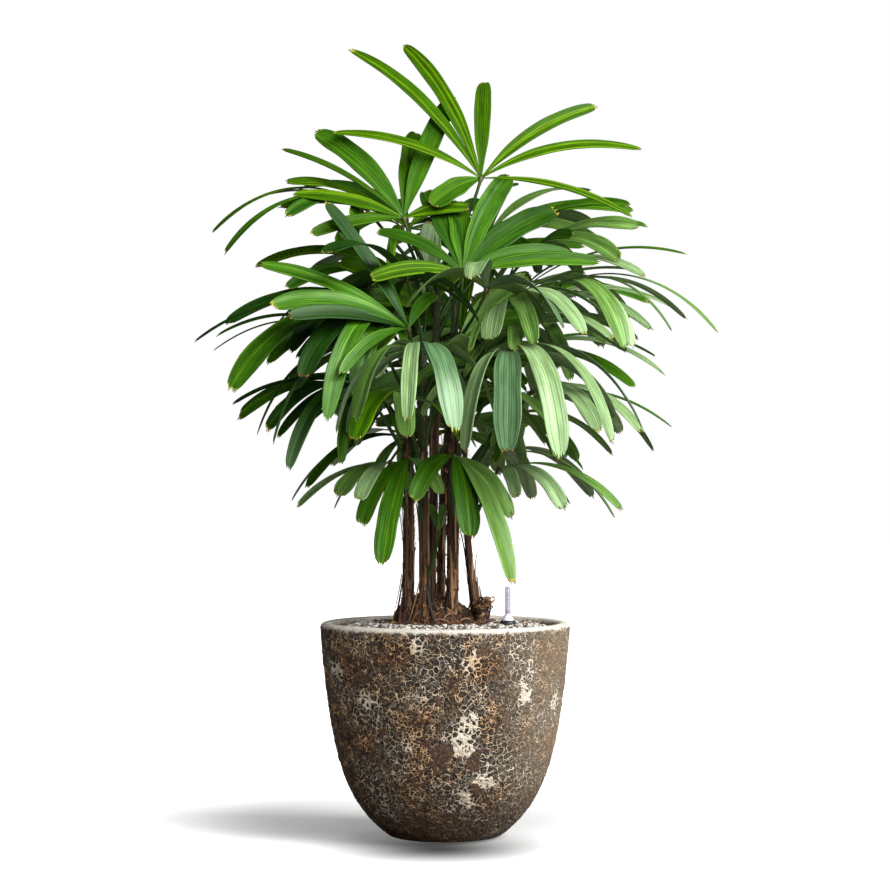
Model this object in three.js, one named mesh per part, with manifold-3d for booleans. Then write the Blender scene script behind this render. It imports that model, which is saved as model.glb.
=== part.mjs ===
// A lady palm, Rhapis excelsa, grown as a clump of canes in a round-bottomed pot.
// Millimetres, +Z up. The origin is the centre of the pot's flat underside, and -Y is the front.
import * as THREE from "three";
import { mergeVertices } from "three/addons/utils/BufferGeometryUtils.js";
import Module from "manifold-3d";

const wasm = await Module();
wasm.setup();

// ---- driving sizes ------------------------------------------------------------------------------

const gap = 0.3; // between pieces that rest on each other
const contact = 0.4; // how far out from a cane the pieces round it are cut
const leafGap = 1.2; // least room kept round a leaflet or stem

const pot = {
  height: 345,
  rimRadius: 200,
  footRadius: 84,
  belly: [
    [160, 54],
    [183, 120],
  ], // handles of the curve from the foot up to the rim
  wall: 19,
  floor: 24,
  lip: 8, // radius of the rounded rim
  sides: 28,
  rings: 7, // up the outside
  innerRings: 4,
  lipRings: 2, // in each quarter of the rim
};
const soil = { middle: 343, flat: 134, edge: 333 }; // top of the granules, in the middle and by the wall
const mound = {
  x: -4,
  y: 2,
  halfWidth: 76,
  halfDepth: 66,
  height: 44,
  lean: -30, // how far to the side its crest stands
  sides: 12,
  steps: 3,
  dome: 0.8, // how soon the heap draws in as it rises
  slope: 2.4, // how late it rises
  crest: 0.06, // share of the width left at the top
  lumps: 0.16, // unevenness of the whole side
  ripples: 0.1, // and of each ring
  heave: 0.3, // and of the height
};
const stump = { foot: [58, -27], tip: [65, -28, 386], radius: 9, bow: [0, 0] };
const gauge = {
  x: 100,
  y: -42,
  capRadius: 13.5,
  capHeight: 6.5,
  capShoulder: 0.55, // share of the height where the cap starts to narrow
  capTop: 0.8, // share of the radius left on top
  capSides: 20,
  tubeRadius: 4.8,
  tubeHeight: 54,
  tubeFlare: 2, // the tube's foot is this many times its radius
  tubeFlareHeight: 10,
  tubeNose: [1.6, 3], // the rounding of its top, inwards and down
  tubeSides: 12,
};

// Each cane runs from a foot on the granules to a tip inside the crown, bowed between them.
const canes = [
  { foot: [-60, -20], tip: [-62, -14, 660], bow: [3, 0], radius: 9 },
  { foot: [-32, -42], tip: [-34, -34, 800], bow: [-1, -2], radius: 8 },
  { foot: [-23, 14], tip: [-12, 18, 900], bow: [0, 2], radius: 7.5 },
  { foot: [12, -30], tip: [16, -24, 860], bow: [-1, 0], radius: 9 },
  { foot: [-7, 34], tip: [16, 46, 800], bow: [-6, 0], radius: 5.5 },
  { foot: [50, -4], tip: [32, 4, 680], bow: [-6, 2], radius: 5.5 },
  { foot: [-27, 52], tip: [-42, 68, 780], bow: [-2, 3], radius: 7.5 },
  { foot: [13, 68], tip: [14, 92, 720], bow: [1, 4], radius: 7 },
];
const caneShape = {
  sides: 8,
  steps: 3,
  flare: 0.35,
  flareHeight: 26,
  taper: 0.35,
  ankle: 14, // height of the first ring above the foot
  rooted: 40, // and of the second, where the mound ends
};

// A frond's hub is where its leaflets meet. Yaw turns its middle leaflet: 0 is right, 90 back, 180
// left and -90 front. Rise lifts that leaflet, and the others fan out from it to half of spread on
// each side. A fan gives each leaflet's turn from the middle, its length and, where they differ from
// the frond's, its droop in degrees and its width. Twist turns the leaflets about their own length,
// the more the nearer to the tip.
const usual = { spread: 214, leaflets: 8, reach: 270, droop: 105, cup: 12, twist: 0, width: 42 };
const fronds = [
  // the open fronds at the top
  {
    at: [58, 0, 1058],
    yaw: 90,
    rise: 52,
    droop: 45,
    width: 27,
    fan: [
      [-98, 265],
      [-58, 280, 56],
      [-38, 262],
      [-1, 250],
      [16, 342, 34],
      [27, 380, 34],
      [55, 268],
      [110, 100, 50, 40],
    ],
  },
  {
    at: [-66, -20, 992],
    yaw: 90,
    rise: 52,
    droop: 36,
    width: 38,
    fan: [
      [-70, 110],
      [-14, 262, 20, 36],
      [-3, 232, 48, 32],
      [28, 240],
      [45, 250, 34, 10],
      [66, 190],
      [96, 160],
    ],
  },
  {
    at: [28, -90, 900],
    yaw: 90,
    rise: 55,
    droop: 50,
    width: 38,
    fan: [
      [-75, 222, 30],
      [-57, 192, 60],
      [-36, 215, 38, 44],
      [-14, 230, 34],
      [2, 175],
      [12, 212, 24],
      [42, 175, 45, 24],
      [80, 155],
    ],
  },
  {
    at: [-130, 60, 1016],
    yaw: 180,
    rise: 22,
    twist: -25,
    width: 26,
    fan: [
      [-75, 190],
      [-26, 215, 50],
      [-8, 290, 135],
      [10, 275, 155],
      [38, 180, 75],
      [72, 150],
    ],
  },
  // the broad leaflets that hang at the front
  {
    at: [-43, -150, 773],
    yaw: -85,
    rise: 30,
    droop: 150,
    width: 40,
    fan: [
      [-95, 190, 220],
      [-62, 215, 250],
      [-32, 230, 300],
      [-8, 225, 300, 26],
      [12, 252, 290, 42],
      [48, 200, 280],
      [86, 180, 250],
    ],
  },
  {
    at: [97, -150, 766],
    yaw: -65,
    rise: 28,
    droop: 140,
    width: 40,
    fan: [
      [-88, 190, 200],
      [-52, 258, 300, 38],
      [-22, 262, 330, 44],
      [-2, 305, 320, 38],
      [16, 305, 250, 28],
      [34, 285, 190, 38],
      [66, 220, 160],
    ],
  },
  {
    at: [15, -90, 612],
    yaw: -52,
    rise: -28,
    droop: 105,
    width: 40,
    fan: [
      [-75, 150],
      [-28, 190, 120, 42],
      [-10, 284],
      [26, 150],
    ],
  },
  // the middle of the crown, left
  {
    at: [-57, -110, 811],
    yaw: 120,
    rise: 50,
    droop: 60,
    width: 36,
    fan: [
      [-30, 120, 60, 22],
      [6, 205, 20, 24],
      [17, 256, 14, 26],
      [46, 262, 36, 32],
      [60, 245, 66, 36],
      [76, 225, 40],
      [104, 190],
    ],
  },
  {
    at: [-82, -60, 825],
    yaw: -160,
    rise: 22,
    twist: -40,
    droop: 120,
    width: 40,
    fan: [
      [-60, 250, 90],
      [-22, 345, 98, 24],
      [4, 335, 165, 46],
      [22, 250, 190],
      [38, 305, 235, 32],
      [56, 240, 260, 36],
      [76, 200, 220],
    ],
  },
  {
    at: [-95, -110, 778],
    yaw: -115,
    rise: 20,
    droop: 130,
    width: 36,
    fan: [
      [-80, 230, 150],
      [-52, 275, 210],
      [-30, 280, 250],
      [-8, 222, 300, 38],
      [30, 215, 300],
      [66, 190, 250],
    ],
  },
  { at: [-110, 90, 850], yaw: 155, rise: 25, twist: -30, reach: 280, droop: 115, width: 36 },
  { at: [-60, -60, 890], yaw: -140, rise: 35, reach: 240, droop: 120, width: 38 },
  // the middle of the crown, right
  {
    at: [92, -90, 849],
    yaw: -15,
    rise: 30,
    droop: 120,
    width: 34,
    fan: [
      [-108, 150, 130],
      [-78, 140, 150, 42],
      [-50, 200, 170],
      [-24, 215, 190],
      [-2, 190, 150],
      [22, 240, 60],
      [62, 200, 80],
    ],
  },
  {
    at: [183, -20, 885],
    yaw: -10,
    rise: 15,
    droop: 120,
    width: 26,
    fan: [
      [-84, 190],
      [-48, 232, 190, 42],
      [-32, 215, 200],
      [-14, 235, 160],
      [4, 290, 130],
      [34, 260, 95],
      [70, 220, 90],
    ],
  },
  { at: [65, -130, 872], yaw: -92, rise: 35, leaflets: 7, reach: 200, droop: 155, width: 38 },
  { at: [113, -60, 811], yaw: -18, rise: 22, reach: 225, droop: 115, width: 36 },
  { at: [120, 90, 850], yaw: 30, rise: 25, reach: 270, droop: 110, width: 36 },
  { at: [140, 60, 945], yaw: 5, rise: 30, twist: 30, reach: 215, droop: 85, width: 30 },
  { at: [-60, 110, 985], yaw: 120, rise: 40, reach: 250, droop: 80, width: 34 },
  { at: [75, 110, 980], yaw: 60, rise: 40, reach: 250, droop: 80, width: 34 },
  // low in the crown
  {
    at: [-128, -30, 717],
    yaw: -172,
    rise: 15,
    twist: -40,
    droop: 90,
    width: 28,
    fan: [
      [-50, 230],
      [-16, 230, 80],
      [2, 225, 92],
      [28, 222, 130],
      [46, 270, 170],
      [74, 200, 200],
      [104, 170, 130],
    ],
  },
  { at: [40, -140, 706], yaw: -80, rise: 15, leaflets: 7, reach: 200, droop: 140, width: 38 },
  { at: [140, -20, 715], yaw: -12, rise: 14, reach: 240, droop: 125, width: 36 },
  { at: [-70, -100, 700], yaw: -125, rise: 12, leaflets: 7, reach: 210, droop: 130, width: 36 },
  { at: [90, -90, 670], yaw: -40, rise: 15, leaflets: 7, reach: 210, droop: 125, width: 34 },
  // the lowest
  {
    at: [-88, -50, 602],
    yaw: -150,
    rise: -10,
    twist: -30,
    droop: 95,
    width: 32,
    fan: [
      [-70, 150],
      [-30, 172],
      [4, 120],
      [40, 150],
      [84, 120],
    ],
  },
  {
    at: [-56, -95, 608],
    yaw: -112,
    rise: -32,
    droop: 90,
    width: 30,
    fan: [
      [-72, 120],
      [-40, 150, 110, 32],
      [-10, 130, 130],
      [6, 232, 100, 34],
      [60, 110],
    ],
  },
  {
    at: [87, -20, 592],
    yaw: -12,
    rise: 6,
    twist: 40,
    droop: 120,
    width: 28,
    fan: [
      [-68, 130],
      [-30, 170, 150],
      [-2, 228, 110],
      [44, 170],
    ],
  },
  // a young shoot that is still folded
  {
    at: [-10, -56, 490],
    yaw: 90,
    rise: 55,
    droop: 10,
    fan: [
      [-22, 66, 10, 13],
      [24, 68, 10, 13],
    ],
  },
  // the heart of the crown
  {
    at: [22, -48, 796],
    yaw: 90,
    rise: 58,
    droop: 30,
    width: 42,
    fan: [
      [-62, 140, 70],
      [-34, 165],
      [-8, 160],
      [20, 165],
      [44, 168, 20, 50],
      [74, 140, 60],
    ],
  },
  { at: [46, -86, 752], yaw: -60, rise: 48, leaflets: 7, reach: 150, droop: 140, width: 34 },
  ...rearFronds(),
];

// The back of the crown goes round in steps of the golden angle as it climbs. Pairs are the sizes at
// its foot and at its top, except out and reach, which are those at both ends and what the middle adds.
function rearFronds() {
  const rear = {
    count: 15,
    height: [600, 1000],
    golden: 137.5,
    sector: [-8, 188],
    deep: 62,
    out: [73.5, 63],
    reach: [235, 50],
    rise: [10, 40],
    droop: [125, 80],
    leaflets: 7,
    width: 34,
  };
  const [from, to] = rear.sector;
  return Array.from({ length: rear.count }, (unused, index) => {
    const climb = (index + 0.5) / rear.count;
    const grown = ([low, high]) => low + (high - low) * climb;
    const swelled = ([ends, more]) => ends + more * Math.sin(Math.PI * climb);
    const yaw = from + ((index * rear.golden) % (to - from));
    const angle = (yaw * Math.PI) / 180;
    const out = swelled(rear.out);
    return {
      at: [out * Math.cos(angle), rear.deep + out * Math.sin(angle), grown(rear.height)],
      yaw,
      rise: grown(rear.rise),
      reach: swelled(rear.reach),
      droop: grown(rear.droop),
      leaflets: rear.leaflets,
      width: rear.width,
    };
  });
}

// How far a leaflet may differ from its frond: turn, cup and twist in degrees, the rest as shares.
const unlike = { turn: 9, cup: 10, twist: 40, length: 0.16, width: 0.15, droop: 0.5 };
// The outer leaflets of a frond are shorter and narrower than its middle ones.
const outer = { turn: 110, shorter: 0.22, narrower: 0.52, power: 1.7 };

const stalk = {
  base: 3.4,
  neck: 2.4,
  sides: 3,
  steps: 4,
  hubRadius: 8,
  drop: 60, // it leaves the cane at least this far below the hub
  slant: 0.8, // and this much lower for each millimetre that the hub stands away
  tipRoom: 4, // and no closer to the cane's tip than this
  lowest: 60, // and no closer to the granules than this
  rising: 0.9, // share of a third of its way on which it leaves straight up
  leaving: 0.45, // and outwards
  forward: 0.4, // how much it turns into the blade's own direction at the hub
  lift: 0.3, // and upwards
};
// A leaflet widens from its foot up to where it opens, stays even and narrows again where it tapers.
const blade = {
  rings: [0, 0.15, 0.45, 0.75, 1], // where its solid has corners
  steps: 20,
  bending: 1.25, // above 1, more of the droop is near the tip
  keel: 3.4,
  thinner: 0.55, // share of the keel lost where the leaflet is narrowest
  foot: 0.1,
  opens: 0.5,
  tapers: 0.75,
  tip: 0.4,
};

// What a leaflet that would touch another frond may change, in turn: its angle in the fan, its
// droop, both in degrees, and the share of its length that it keeps.
const leafTries = [
  [0, 0, 1],
  [5, 0, 1],
  [-5, 0, 1],
  [0, 14, 1],
  [0, -14, 1],
  [9, 8, 1],
  [-9, 8, 1],
  [9, -16, 0.95],
  [-9, -16, 0.95],
  [4, 30, 0.9],
  [-4, -30, 0.9],
  [14, 20, 0.9],
  [-14, 20, 0.9],
  [14, -30, 0.85],
  [-14, -30, 0.85],
  [0, 0, 0.7],
  [8, 30, 0.7],
  [-8, 30, 0.7],
];
// What a stem that would touch something may change: how much lower it leaves the cane, and how far
// it swings out on the way.
const stalkTries = [
  [0, 0],
  [20, 0],
  [0, 18],
  [0, -18],
  [40, 10],
  [40, -10],
  [60, 25],
  [60, -25],
  [90, 0],
  [120, 20],
  [120, -20],
];

// ---- small tools --------------------------------------------------------------------------------

const up = new THREE.Vector3(0, 0, 1);
const radians = THREE.MathUtils.degToRad;
const point = (x, y, z) => new THREE.Vector3(x, y, z);

// A share from 0 to 1 that is always the same for the same keys.
function draw(...keys) {
  const wave = (key, place) => Math.sin((key + 1) * (12.9898 + place * 65.719) + place * 4.1414);
  const sum = keys.reduce((total, key, place) => total + wave(key, place) * 43758.5453, 0);
  return sum - Math.floor(sum);
}

function solidFrom(positions, faces) {
  return new wasm.Manifold(
    new wasm.Mesh({
      numProp: 3,
      vertProperties: new Float32Array(positions),
      triVerts: new Uint32Array(faces),
    }),
  );
}

function solidOf(geometry) {
  geometry.deleteAttribute("normal");
  geometry.deleteAttribute("uv");
  const merged = mergeVertices(geometry, 1e-3);
  return solidFrom(merged.attributes.position.array, merged.index.array);
}

function geometryOf(solid) {
  const mesh = solid.getMesh();
  const geometry = new THREE.BufferGeometry();
  geometry.setAttribute("position", new THREE.BufferAttribute(mesh.vertProperties, 3));
  geometry.setIndex(new THREE.BufferAttribute(mesh.triVerts, 1));
  geometry.computeVertexNormals();
  return geometry;
}

// A closed solid through rings of points, each ring anticlockwise seen from the last one.
function loft(rings) {
  const sides = rings[0].length;
  const faces = [];
  for (let ring = 0; ring + 1 < rings.length; ring += 1) {
    for (let side = 0; side < sides; side += 1) {
      const here = ring * sides + side;
      const next = ring * sides + ((side + 1) % sides);
      faces.push(here, next, next + sides, here, next + sides, here + sides);
    }
  }
  const last = (rings.length - 1) * sides;
  for (let side = 1; side + 1 < sides; side += 1) {
    faces.push(0, side + 1, side, last, last + side, last + side + 1);
  }
  const positions = rings.flat().flatMap((corner) => corner.toArray());
  return solidFrom(positions, faces);
}

// A ring of points round a centre, square to a direction.
function ringRound(centre, direction, radius, sides) {
  const first = new THREE.Vector3().crossVectors(point(0, 1, 0), direction).normalize();
  const second = new THREE.Vector3().crossVectors(direction, first).normalize();
  return Array.from({ length: sides }, (unused, side) => {
    const angle = (side / sides) * 2 * Math.PI;
    return centre
      .clone()
      .addScaledVector(first, radius * Math.cos(angle))
      .addScaledVector(second, radius * Math.sin(angle));
  });
}

function largestBody(solid) {
  const bodies = solid.decompose();
  return bodies.reduce((best, body) => (body.volume() > best.volume() ? body : best));
}

// ---- pot, granules and gauge --------------------------------------------------------------------

function potSide() {
  const rimFoot = new THREE.Vector2(pot.rimRadius, pot.height - pot.lip);
  const [low, high] = pot.belly.map(([radius, height]) => new THREE.Vector2(radius, height));
  return new THREE.CubicBezierCurve(new THREE.Vector2(pot.footRadius, 0), low, high, rimFoot);
}

// The inside follows the outside, one wall in.
function innerRadius(height) {
  const fineSteps = 200;
  const above = potSide().getPoints(fineSteps).find((place) => place.y >= height);
  return above.x - pot.wall;
}

// The inside wall from the floor up to the granules' edge, drawn in by a clearance.
function potInside(clearance) {
  return Array.from({ length: pot.innerRings + 1 }, (unused, step) => {
    const height = pot.floor + ((soil.edge - pot.floor) * step) / pot.innerRings;
    return new THREE.Vector2(innerRadius(height) - clearance, height);
  });
}

// A part of the rim's rounding, from one angle to another.
function lip(centreRadius, from, to) {
  return Array.from({ length: pot.lipRings + 1 }, (unused, step) => {
    const angle = radians(from + ((to - from) * step) / pot.lipRings);
    const height = pot.height - pot.lip + pot.lip * Math.sin(angle);
    return new THREE.Vector2(centreRadius + pot.lip * Math.cos(angle), height);
  });
}

function potSolid() {
  return turned(
    [
      new THREE.Vector2(0, 0),
      ...potSide().getPoints(pot.rings),
      ...lip(pot.rimRadius - pot.lip, 30, 90),
      ...lip(pot.rimRadius - pot.wall + pot.lip, 90, 180),
      ...potInside(0).reverse(),
      new THREE.Vector2(0, pot.floor),
    ],
    pot.sides,
  );
}

// A profile turned about the Z axis.
function turned(profile, sides) {
  const geometry = new THREE.LatheGeometry(profile, sides);
  geometry.rotateX(Math.PI / 2);
  return solidOf(geometry);
}

function granulesSolid() {
  const [floorEdge, ...wall] = potInside(gap / Math.cos(Math.PI / pot.sides));
  return turned(
    [
      new THREE.Vector2(0, pot.floor + gap),
      new THREE.Vector2(floorEdge.x, pot.floor + gap),
      ...wall,
      new THREE.Vector2(soil.flat, soil.middle),
      new THREE.Vector2(0, soil.middle),
    ],
    pot.sides,
  );
}

function gaugeCap() {
  const { capRadius, capHeight, capShoulder, capTop, capSides } = gauge;
  const profile = [
    [0, 0],
    [capRadius, 0],
    [capRadius, capHeight * capShoulder],
    [capRadius * capTop, capHeight],
    [0, capHeight],
  ];
  return onGranules(profile, capSides);
}

function gaugeTube() {
  const { tubeRadius, tubeFlare, tubeFlareHeight, tubeNose, tubeSides } = gauge;
  const [inwards, down] = tubeNose;
  const bottom = gauge.capHeight + gap;
  const top = bottom + gauge.tubeHeight;
  const profile = [
    [0, bottom],
    [tubeRadius * tubeFlare, bottom],
    [tubeRadius, bottom + tubeFlareHeight],
    [tubeRadius, top - down],
    [tubeRadius - inwards, top],
    [0, top],
  ];
  return onGranules(profile, tubeSides);
}

// A turned piece of the gauge, with its foot just above the granules.
function onGranules(profile, sides) {
  const corners = profile.map(([radius, height]) => new THREE.Vector2(radius, height));
  return turned(corners, sides).translate([gauge.x, gauge.y, soil.middle + gap]);
}

// ---- canes, stump and mound ---------------------------------------------------------------------

function caneCentre(cane, share) {
  const [footX, footY] = cane.foot;
  const [tipX, tipY, tipZ] = cane.tip;
  const footZ = soil.middle + gap;
  const swing = Math.sin(Math.PI * share);
  return point(
    footX + (tipX - footX) * share + cane.bow[0] * swing,
    footY + (tipY - footY) * share + cane.bow[1] * swing,
    footZ + (tipZ - footZ) * share,
  );
}

function caneRadius(cane, share) {
  const height = (cane.tip[2] - soil.middle) * share;
  const flare = 1 + caneShape.flare * Math.exp(-height / caneShape.flareHeight);
  return cane.radius * (1 - caneShape.taper * share) * flare;
}

// The foot ring is level, so that the cane is cut flat where it stands.
function caneSolid(cane, spare) {
  const height = cane.tip[2] - soil.middle;
  const low = [0, caneShape.ankle / height, caneShape.rooted / height];
  const high = Array.from({ length: caneShape.steps }, (unused, step) => {
    return low[2] + ((1 - low[2]) * (step + 1)) / caneShape.steps;
  });
  const rings = [...low, ...high].map((share) =>
    ringRound(caneCentre(cane, share), up, caneRadius(cane, share) + spare, caneShape.sides),
  );
  return loft(rings);
}

// Fibres and roots heaped round the feet of the canes, as one low uneven heap cut clear of them.
function moundSolid(pieces) {
  const rings = [];
  for (let step = 0; step <= mound.steps; step += 1) {
    const share = step / mound.steps;
    const reach = Math.max(mound.crest, Math.cos((share * Math.PI) / 2) ** mound.dome);
    const height = mound.height * Math.sin((share * Math.PI) / 2) ** mound.slope;
    const heave = mound.heave * Math.sin(share * Math.PI);
    const ring = Array.from({ length: mound.sides }, (unused, side) => {
      const angle = (side / mound.sides) * 2 * Math.PI;
      const uneven = mound.lumps * (draw(side, 3) - 0.5) + mound.ripples * (draw(side, step) - 0.5);
      const spread = reach * (1 + uneven);
      const lift = height * (1 + heave * (draw(step, side, 5) - 0.5));
      return point(
        mound.x + mound.lean * share + mound.halfWidth * spread * Math.cos(angle),
        mound.y + mound.halfDepth * spread * Math.sin(angle),
        soil.middle + gap + lift,
      );
    });
    rings.push(ring);
  }
  return largestBody(pieces.reduce((heap, piece) => heap.subtract(piece), loft(rings)));
}

// ---- fronds -------------------------------------------------------------------------------------

// Directions of a frond's blade: along its middle leaflet, to the left of it, and out of its face.
function bladeFrame(frond) {
  const yaw = radians(frond.yaw);
  const rise = radians(frond.rise);
  const middle = point(
    Math.cos(yaw) * Math.cos(rise),
    Math.sin(yaw) * Math.cos(rise),
    Math.sin(rise),
  );
  const left = point(-Math.sin(yaw), Math.cos(yaw), 0);
  const face = new THREE.Vector3().crossVectors(middle, left);
  return { middle, left, face };
}

// Each leaflet's angle in the fan, length, width, droop and twist, all from the frond's own row.
function leafletPlans(frond, index) {
  const sizes = { ...usual, ...frond };
  const count = frond.fan ? frond.fan.length : sizes.leaflets;
  return Array.from({ length: count }, (unused, place) => {
    const vary = (key) => draw(index, place, key) - 0.5;
    const side = (place / (count - 1) - 0.5) * 2;
    const [turn, length, bend, broad] = frond.fan?.[place] ?? [];
    const angle = turn ?? (side * sizes.spread) / 2 + vary(1) * unlike.turn;
    const across = THREE.MathUtils.clamp(frond.fan ? angle / outer.turn : side, -1, 1);
    const shorter = 1 - outer.shorter * across * across;
    const narrower = 1 - outer.narrower * Math.abs(across) ** outer.power;
    return {
      angle,
      cup: sizes.cup + vary(2) * unlike.cup,
      length: length ?? sizes.reach * shorter * (1 + vary(3) * unlike.length),
      width: broad ?? sizes.width * narrower * (1 + vary(4) * unlike.width),
      droop: bend ?? sizes.droop * (1 + vary(5) * unlike.droop),
      twist: sizes.twist + vary(6) * unlike.twist,
    };
  });
}

// Share of the full width along a leaflet: a narrow foot, a long even strap and a blunt tip.
function widthShare(along) {
  const opened = Math.sin((Math.min(1, along / blade.opens) * Math.PI) / 2) ** 1.25;
  const closing = Math.max(0, (along - blade.tapers) / (1 - blade.tapers)) ** 2;
  return (blade.foot + (1 - blade.foot) * opened) * (1 - (1 - blade.tip) * closing);
}

// Places along a leaflet that leaves the hub in its own direction and bends over towards the ground.
function leafletSpine(frond, plan, change) {
  const [turn, bend, keep] = change;
  const { middle, left, face } = bladeFrame(frond);
  const angle = radians(plan.angle + turn);
  const cup = radians(plan.cup);
  const outward = middle.clone().multiplyScalar(Math.cos(angle)).addScaledVector(left, Math.sin(angle));
  const start = outward.clone().multiplyScalar(Math.cos(cup)).addScaledVector(face, Math.sin(cup));
  const normal = face.clone().multiplyScalar(Math.cos(cup)).addScaledVector(outward, -Math.sin(cup));
  const axis = point(-start.y, start.x, 0).normalize();
  const room = Math.acos(THREE.MathUtils.clamp(-start.z, -1, 1));
  const droop = radians(Math.max(10, plan.droop + bend));
  const stride = (plan.length * keep) / blade.steps;
  const place = point(...frond.at);
  const spine = [];
  for (let step = 0; step <= blade.steps; step += 1) {
    const along = step / blade.steps;
    const bent = room * (1 - Math.exp((-droop * along ** blade.bending) / room));
    const heading = start.clone().applyAxisAngle(axis, bent);
    const facing = normal.clone().applyAxisAngle(axis, bent);
    facing.applyAxisAngle(heading, radians(plan.twist) * along);
    if (step > 0) place.addScaledVector(heading, stride);
    spine.push({ along, place: place.clone(), heading, facing });
  }
  return spine;
}

// A leaflet as a thin three-sided strap, flat above and keeled below. Spare thickens it all round.
function leafletSolid(frond, plan, change, spare) {
  const spine = leafletSpine(frond, plan, change);
  const rings = blade.rings.map((along) => {
    const { place, heading, facing } = spine[Math.round(along * blade.steps)];
    const left = new THREE.Vector3().crossVectors(facing, heading);
    const half = (plan.width * widthShare(along)) / 2 + spare;
    const keel = blade.keel * (1 - blade.thinner * (1 - widthShare(along))) + spare;
    const corners = [
      place.clone().addScaledVector(left, half),
      place.clone().addScaledVector(left, -half),
      place.clone().addScaledVector(facing, -keel),
    ];
    if (spare > 0) corners.splice(1, 0, place.clone().addScaledVector(facing, spare));
    return corners;
  });
  return loft(rings);
}

// A stem that leaves its cane upwards, swings out and comes to the hub from behind and below.
function stalkCurve(frond, cane, change) {
  const [lower, swing] = change;
  const hub = point(...frond.at);
  const tip = point(...cane.tip);
  const away = Math.hypot(hub.x - tip.x, hub.y - tip.y);
  const footZ = Math.min(tip.z - stalk.tipRoom, hub.z - stalk.drop - stalk.slant * away) - lower;
  const height = Math.max(stalk.lowest, footZ - soil.middle);
  const share = height / (tip.z - soil.middle);
  const foot = caneCentre(cane, share);
  const outward = point(hub.x - foot.x, hub.y - foot.y, 0).normalize();
  const reach = foot.distanceTo(hub) / 3;
  const aside = point(-outward.y, outward.x, 0);
  const { middle } = bladeFrame(frond);
  const along = hub.clone().sub(foot).normalize();
  along.addScaledVector(middle, stalk.forward).addScaledVector(up, stalk.lift).normalize();
  const low = foot.clone().addScaledVector(up, reach * stalk.rising);
  low.addScaledVector(outward, reach * stalk.leaving).addScaledVector(aside, swing);
  const high = hub.clone().addScaledVector(along, -reach).addScaledVector(aside, swing);
  return new THREE.CubicBezierCurve3(foot, low, high, hub);
}

function stalkRings(frond, cane, change, spare) {
  const curve = stalkCurve(frond, cane, change);
  return Array.from({ length: stalk.steps + 1 }, (unused, step) => {
    const t = step / stalk.steps;
    const radius = stalk.base + (stalk.neck - stalk.base) * t + spare;
    return ringRound(curve.getPoint(t), curve.getTangent(t), radius, stalk.sides);
  });
}

// The canes a frond may grow from, nearest first, each with every change its stem may make.
function stalkOptions(frond) {
  const hub = point(...frond.at);
  const reachOf = (cane) => hub.distanceTo(stalkCurve(frond, cane, stalkTries[0]).getPoint(0));
  const nearest = [...canes].sort((one, other) => reachOf(one) - reachOf(other)).slice(0, 4);
  return stalkTries.flatMap((change) => nearest.map((cane) => ({ cane, change })));
}

function hubSolid(frond, spare) {
  const knob = new THREE.OctahedronGeometry(stalk.hubRadius + spare, 0);
  knob.translate(...frond.at);
  return solidOf(knob);
}

// ---- keeping apart ------------------------------------------------------------------------------

const taken = []; // what is in place already: its owner, its solid and its box

function take(owner, solid) {
  taken.push({ owner, solid, box: solid.boundingBox() });
}

function boxesMeet(one, other) {
  return [0, 1, 2].every((axis) => one.min[axis] <= other.max[axis] && one.max[axis] >= other.min[axis]);
}

// True where a solid would meet anything in place that the named owners don't hold.
function isBlocked(solid, owners) {
  const box = solid.boundingBox();
  return taken.some((piece) => {
    if (owners.includes(piece.owner) || !boxesMeet(piece.box, box)) return false;
    const common = piece.solid.intersect(solid);
    const meets = common.volume() > 1e-6;
    common.delete();
    return meets;
  });
}

function growStalk(frond, name) {
  const option = stalkOptions(frond).find(({ cane, change }) => {
    const wide = loft(stalkRings(frond, cane, change, leafGap)).add(hubSolid(frond, leafGap));
    const blocked = isBlocked(wide, [name, cane]);
    wide.delete();
    return !blocked;
  });
  if (!option) return null;
  const stem = loft(stalkRings(frond, option.cane, option.change, 0)).add(hubSolid(frond, 0));
  const clear = largestBody(stem.subtract(caneSolid(option.cane, contact)));
  take(name, clear);
  return clear;
}

function growLeaflet(frond, plan, name) {
  const change = leafTries.find((option) => {
    const wide = leafletSolid(frond, plan, option, leafGap);
    const blocked = isBlocked(wide, [name]);
    wide.delete();
    return !blocked;
  });
  if (!change) return null;
  const leaflet = leafletSolid(frond, plan, change, 0);
  take(name, leaflet);
  return leaflet;
}

// ---- the whole plant ----------------------------------------------------------------------------

const palm = new THREE.Group();
const colors = {
  pot: 0x54483d,
  granules: 0x8d8880,
  cap: 0x26262a,
  tube: 0xdfe4e4,
  cane: 0x4a3527,
  root: 0x3b2a1f,
  leaf: 0x3f7d33,
};

function show(name, solid, color, roughness) {
  const material = new THREE.MeshStandardMaterial({ color, roughness, metalness: 0 });
  const mesh = new THREE.Mesh(geometryOf(solid), material);
  mesh.name = name;
  palm.add(mesh);
}

const twoDigits = (number) => String(number).padStart(2, "0");

show("pot", potSolid(), colors.pot, 0.9);
show("granules", granulesSolid(), colors.granules, 0.95);
show("gauge_cap", gaugeCap(), colors.cap, 0.5);
show("gauge_tube", gaugeTube(), colors.tube, 0.2);
take("gauge", gaugeTube());

const rooted = [...canes, stump];
for (const [index, cane] of canes.entries()) {
  const solid = caneSolid(cane, 0);
  take(cane, solid);
  show("cane_" + (index + 1), solid, colors.cane, 0.95);
}
show("cane_stump", caneSolid(stump, 0), colors.cane, 0.95);
show("root_mound", moundSolid(rooted.map((cane) => caneSolid(cane, contact))), colors.root, 1);

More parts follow.
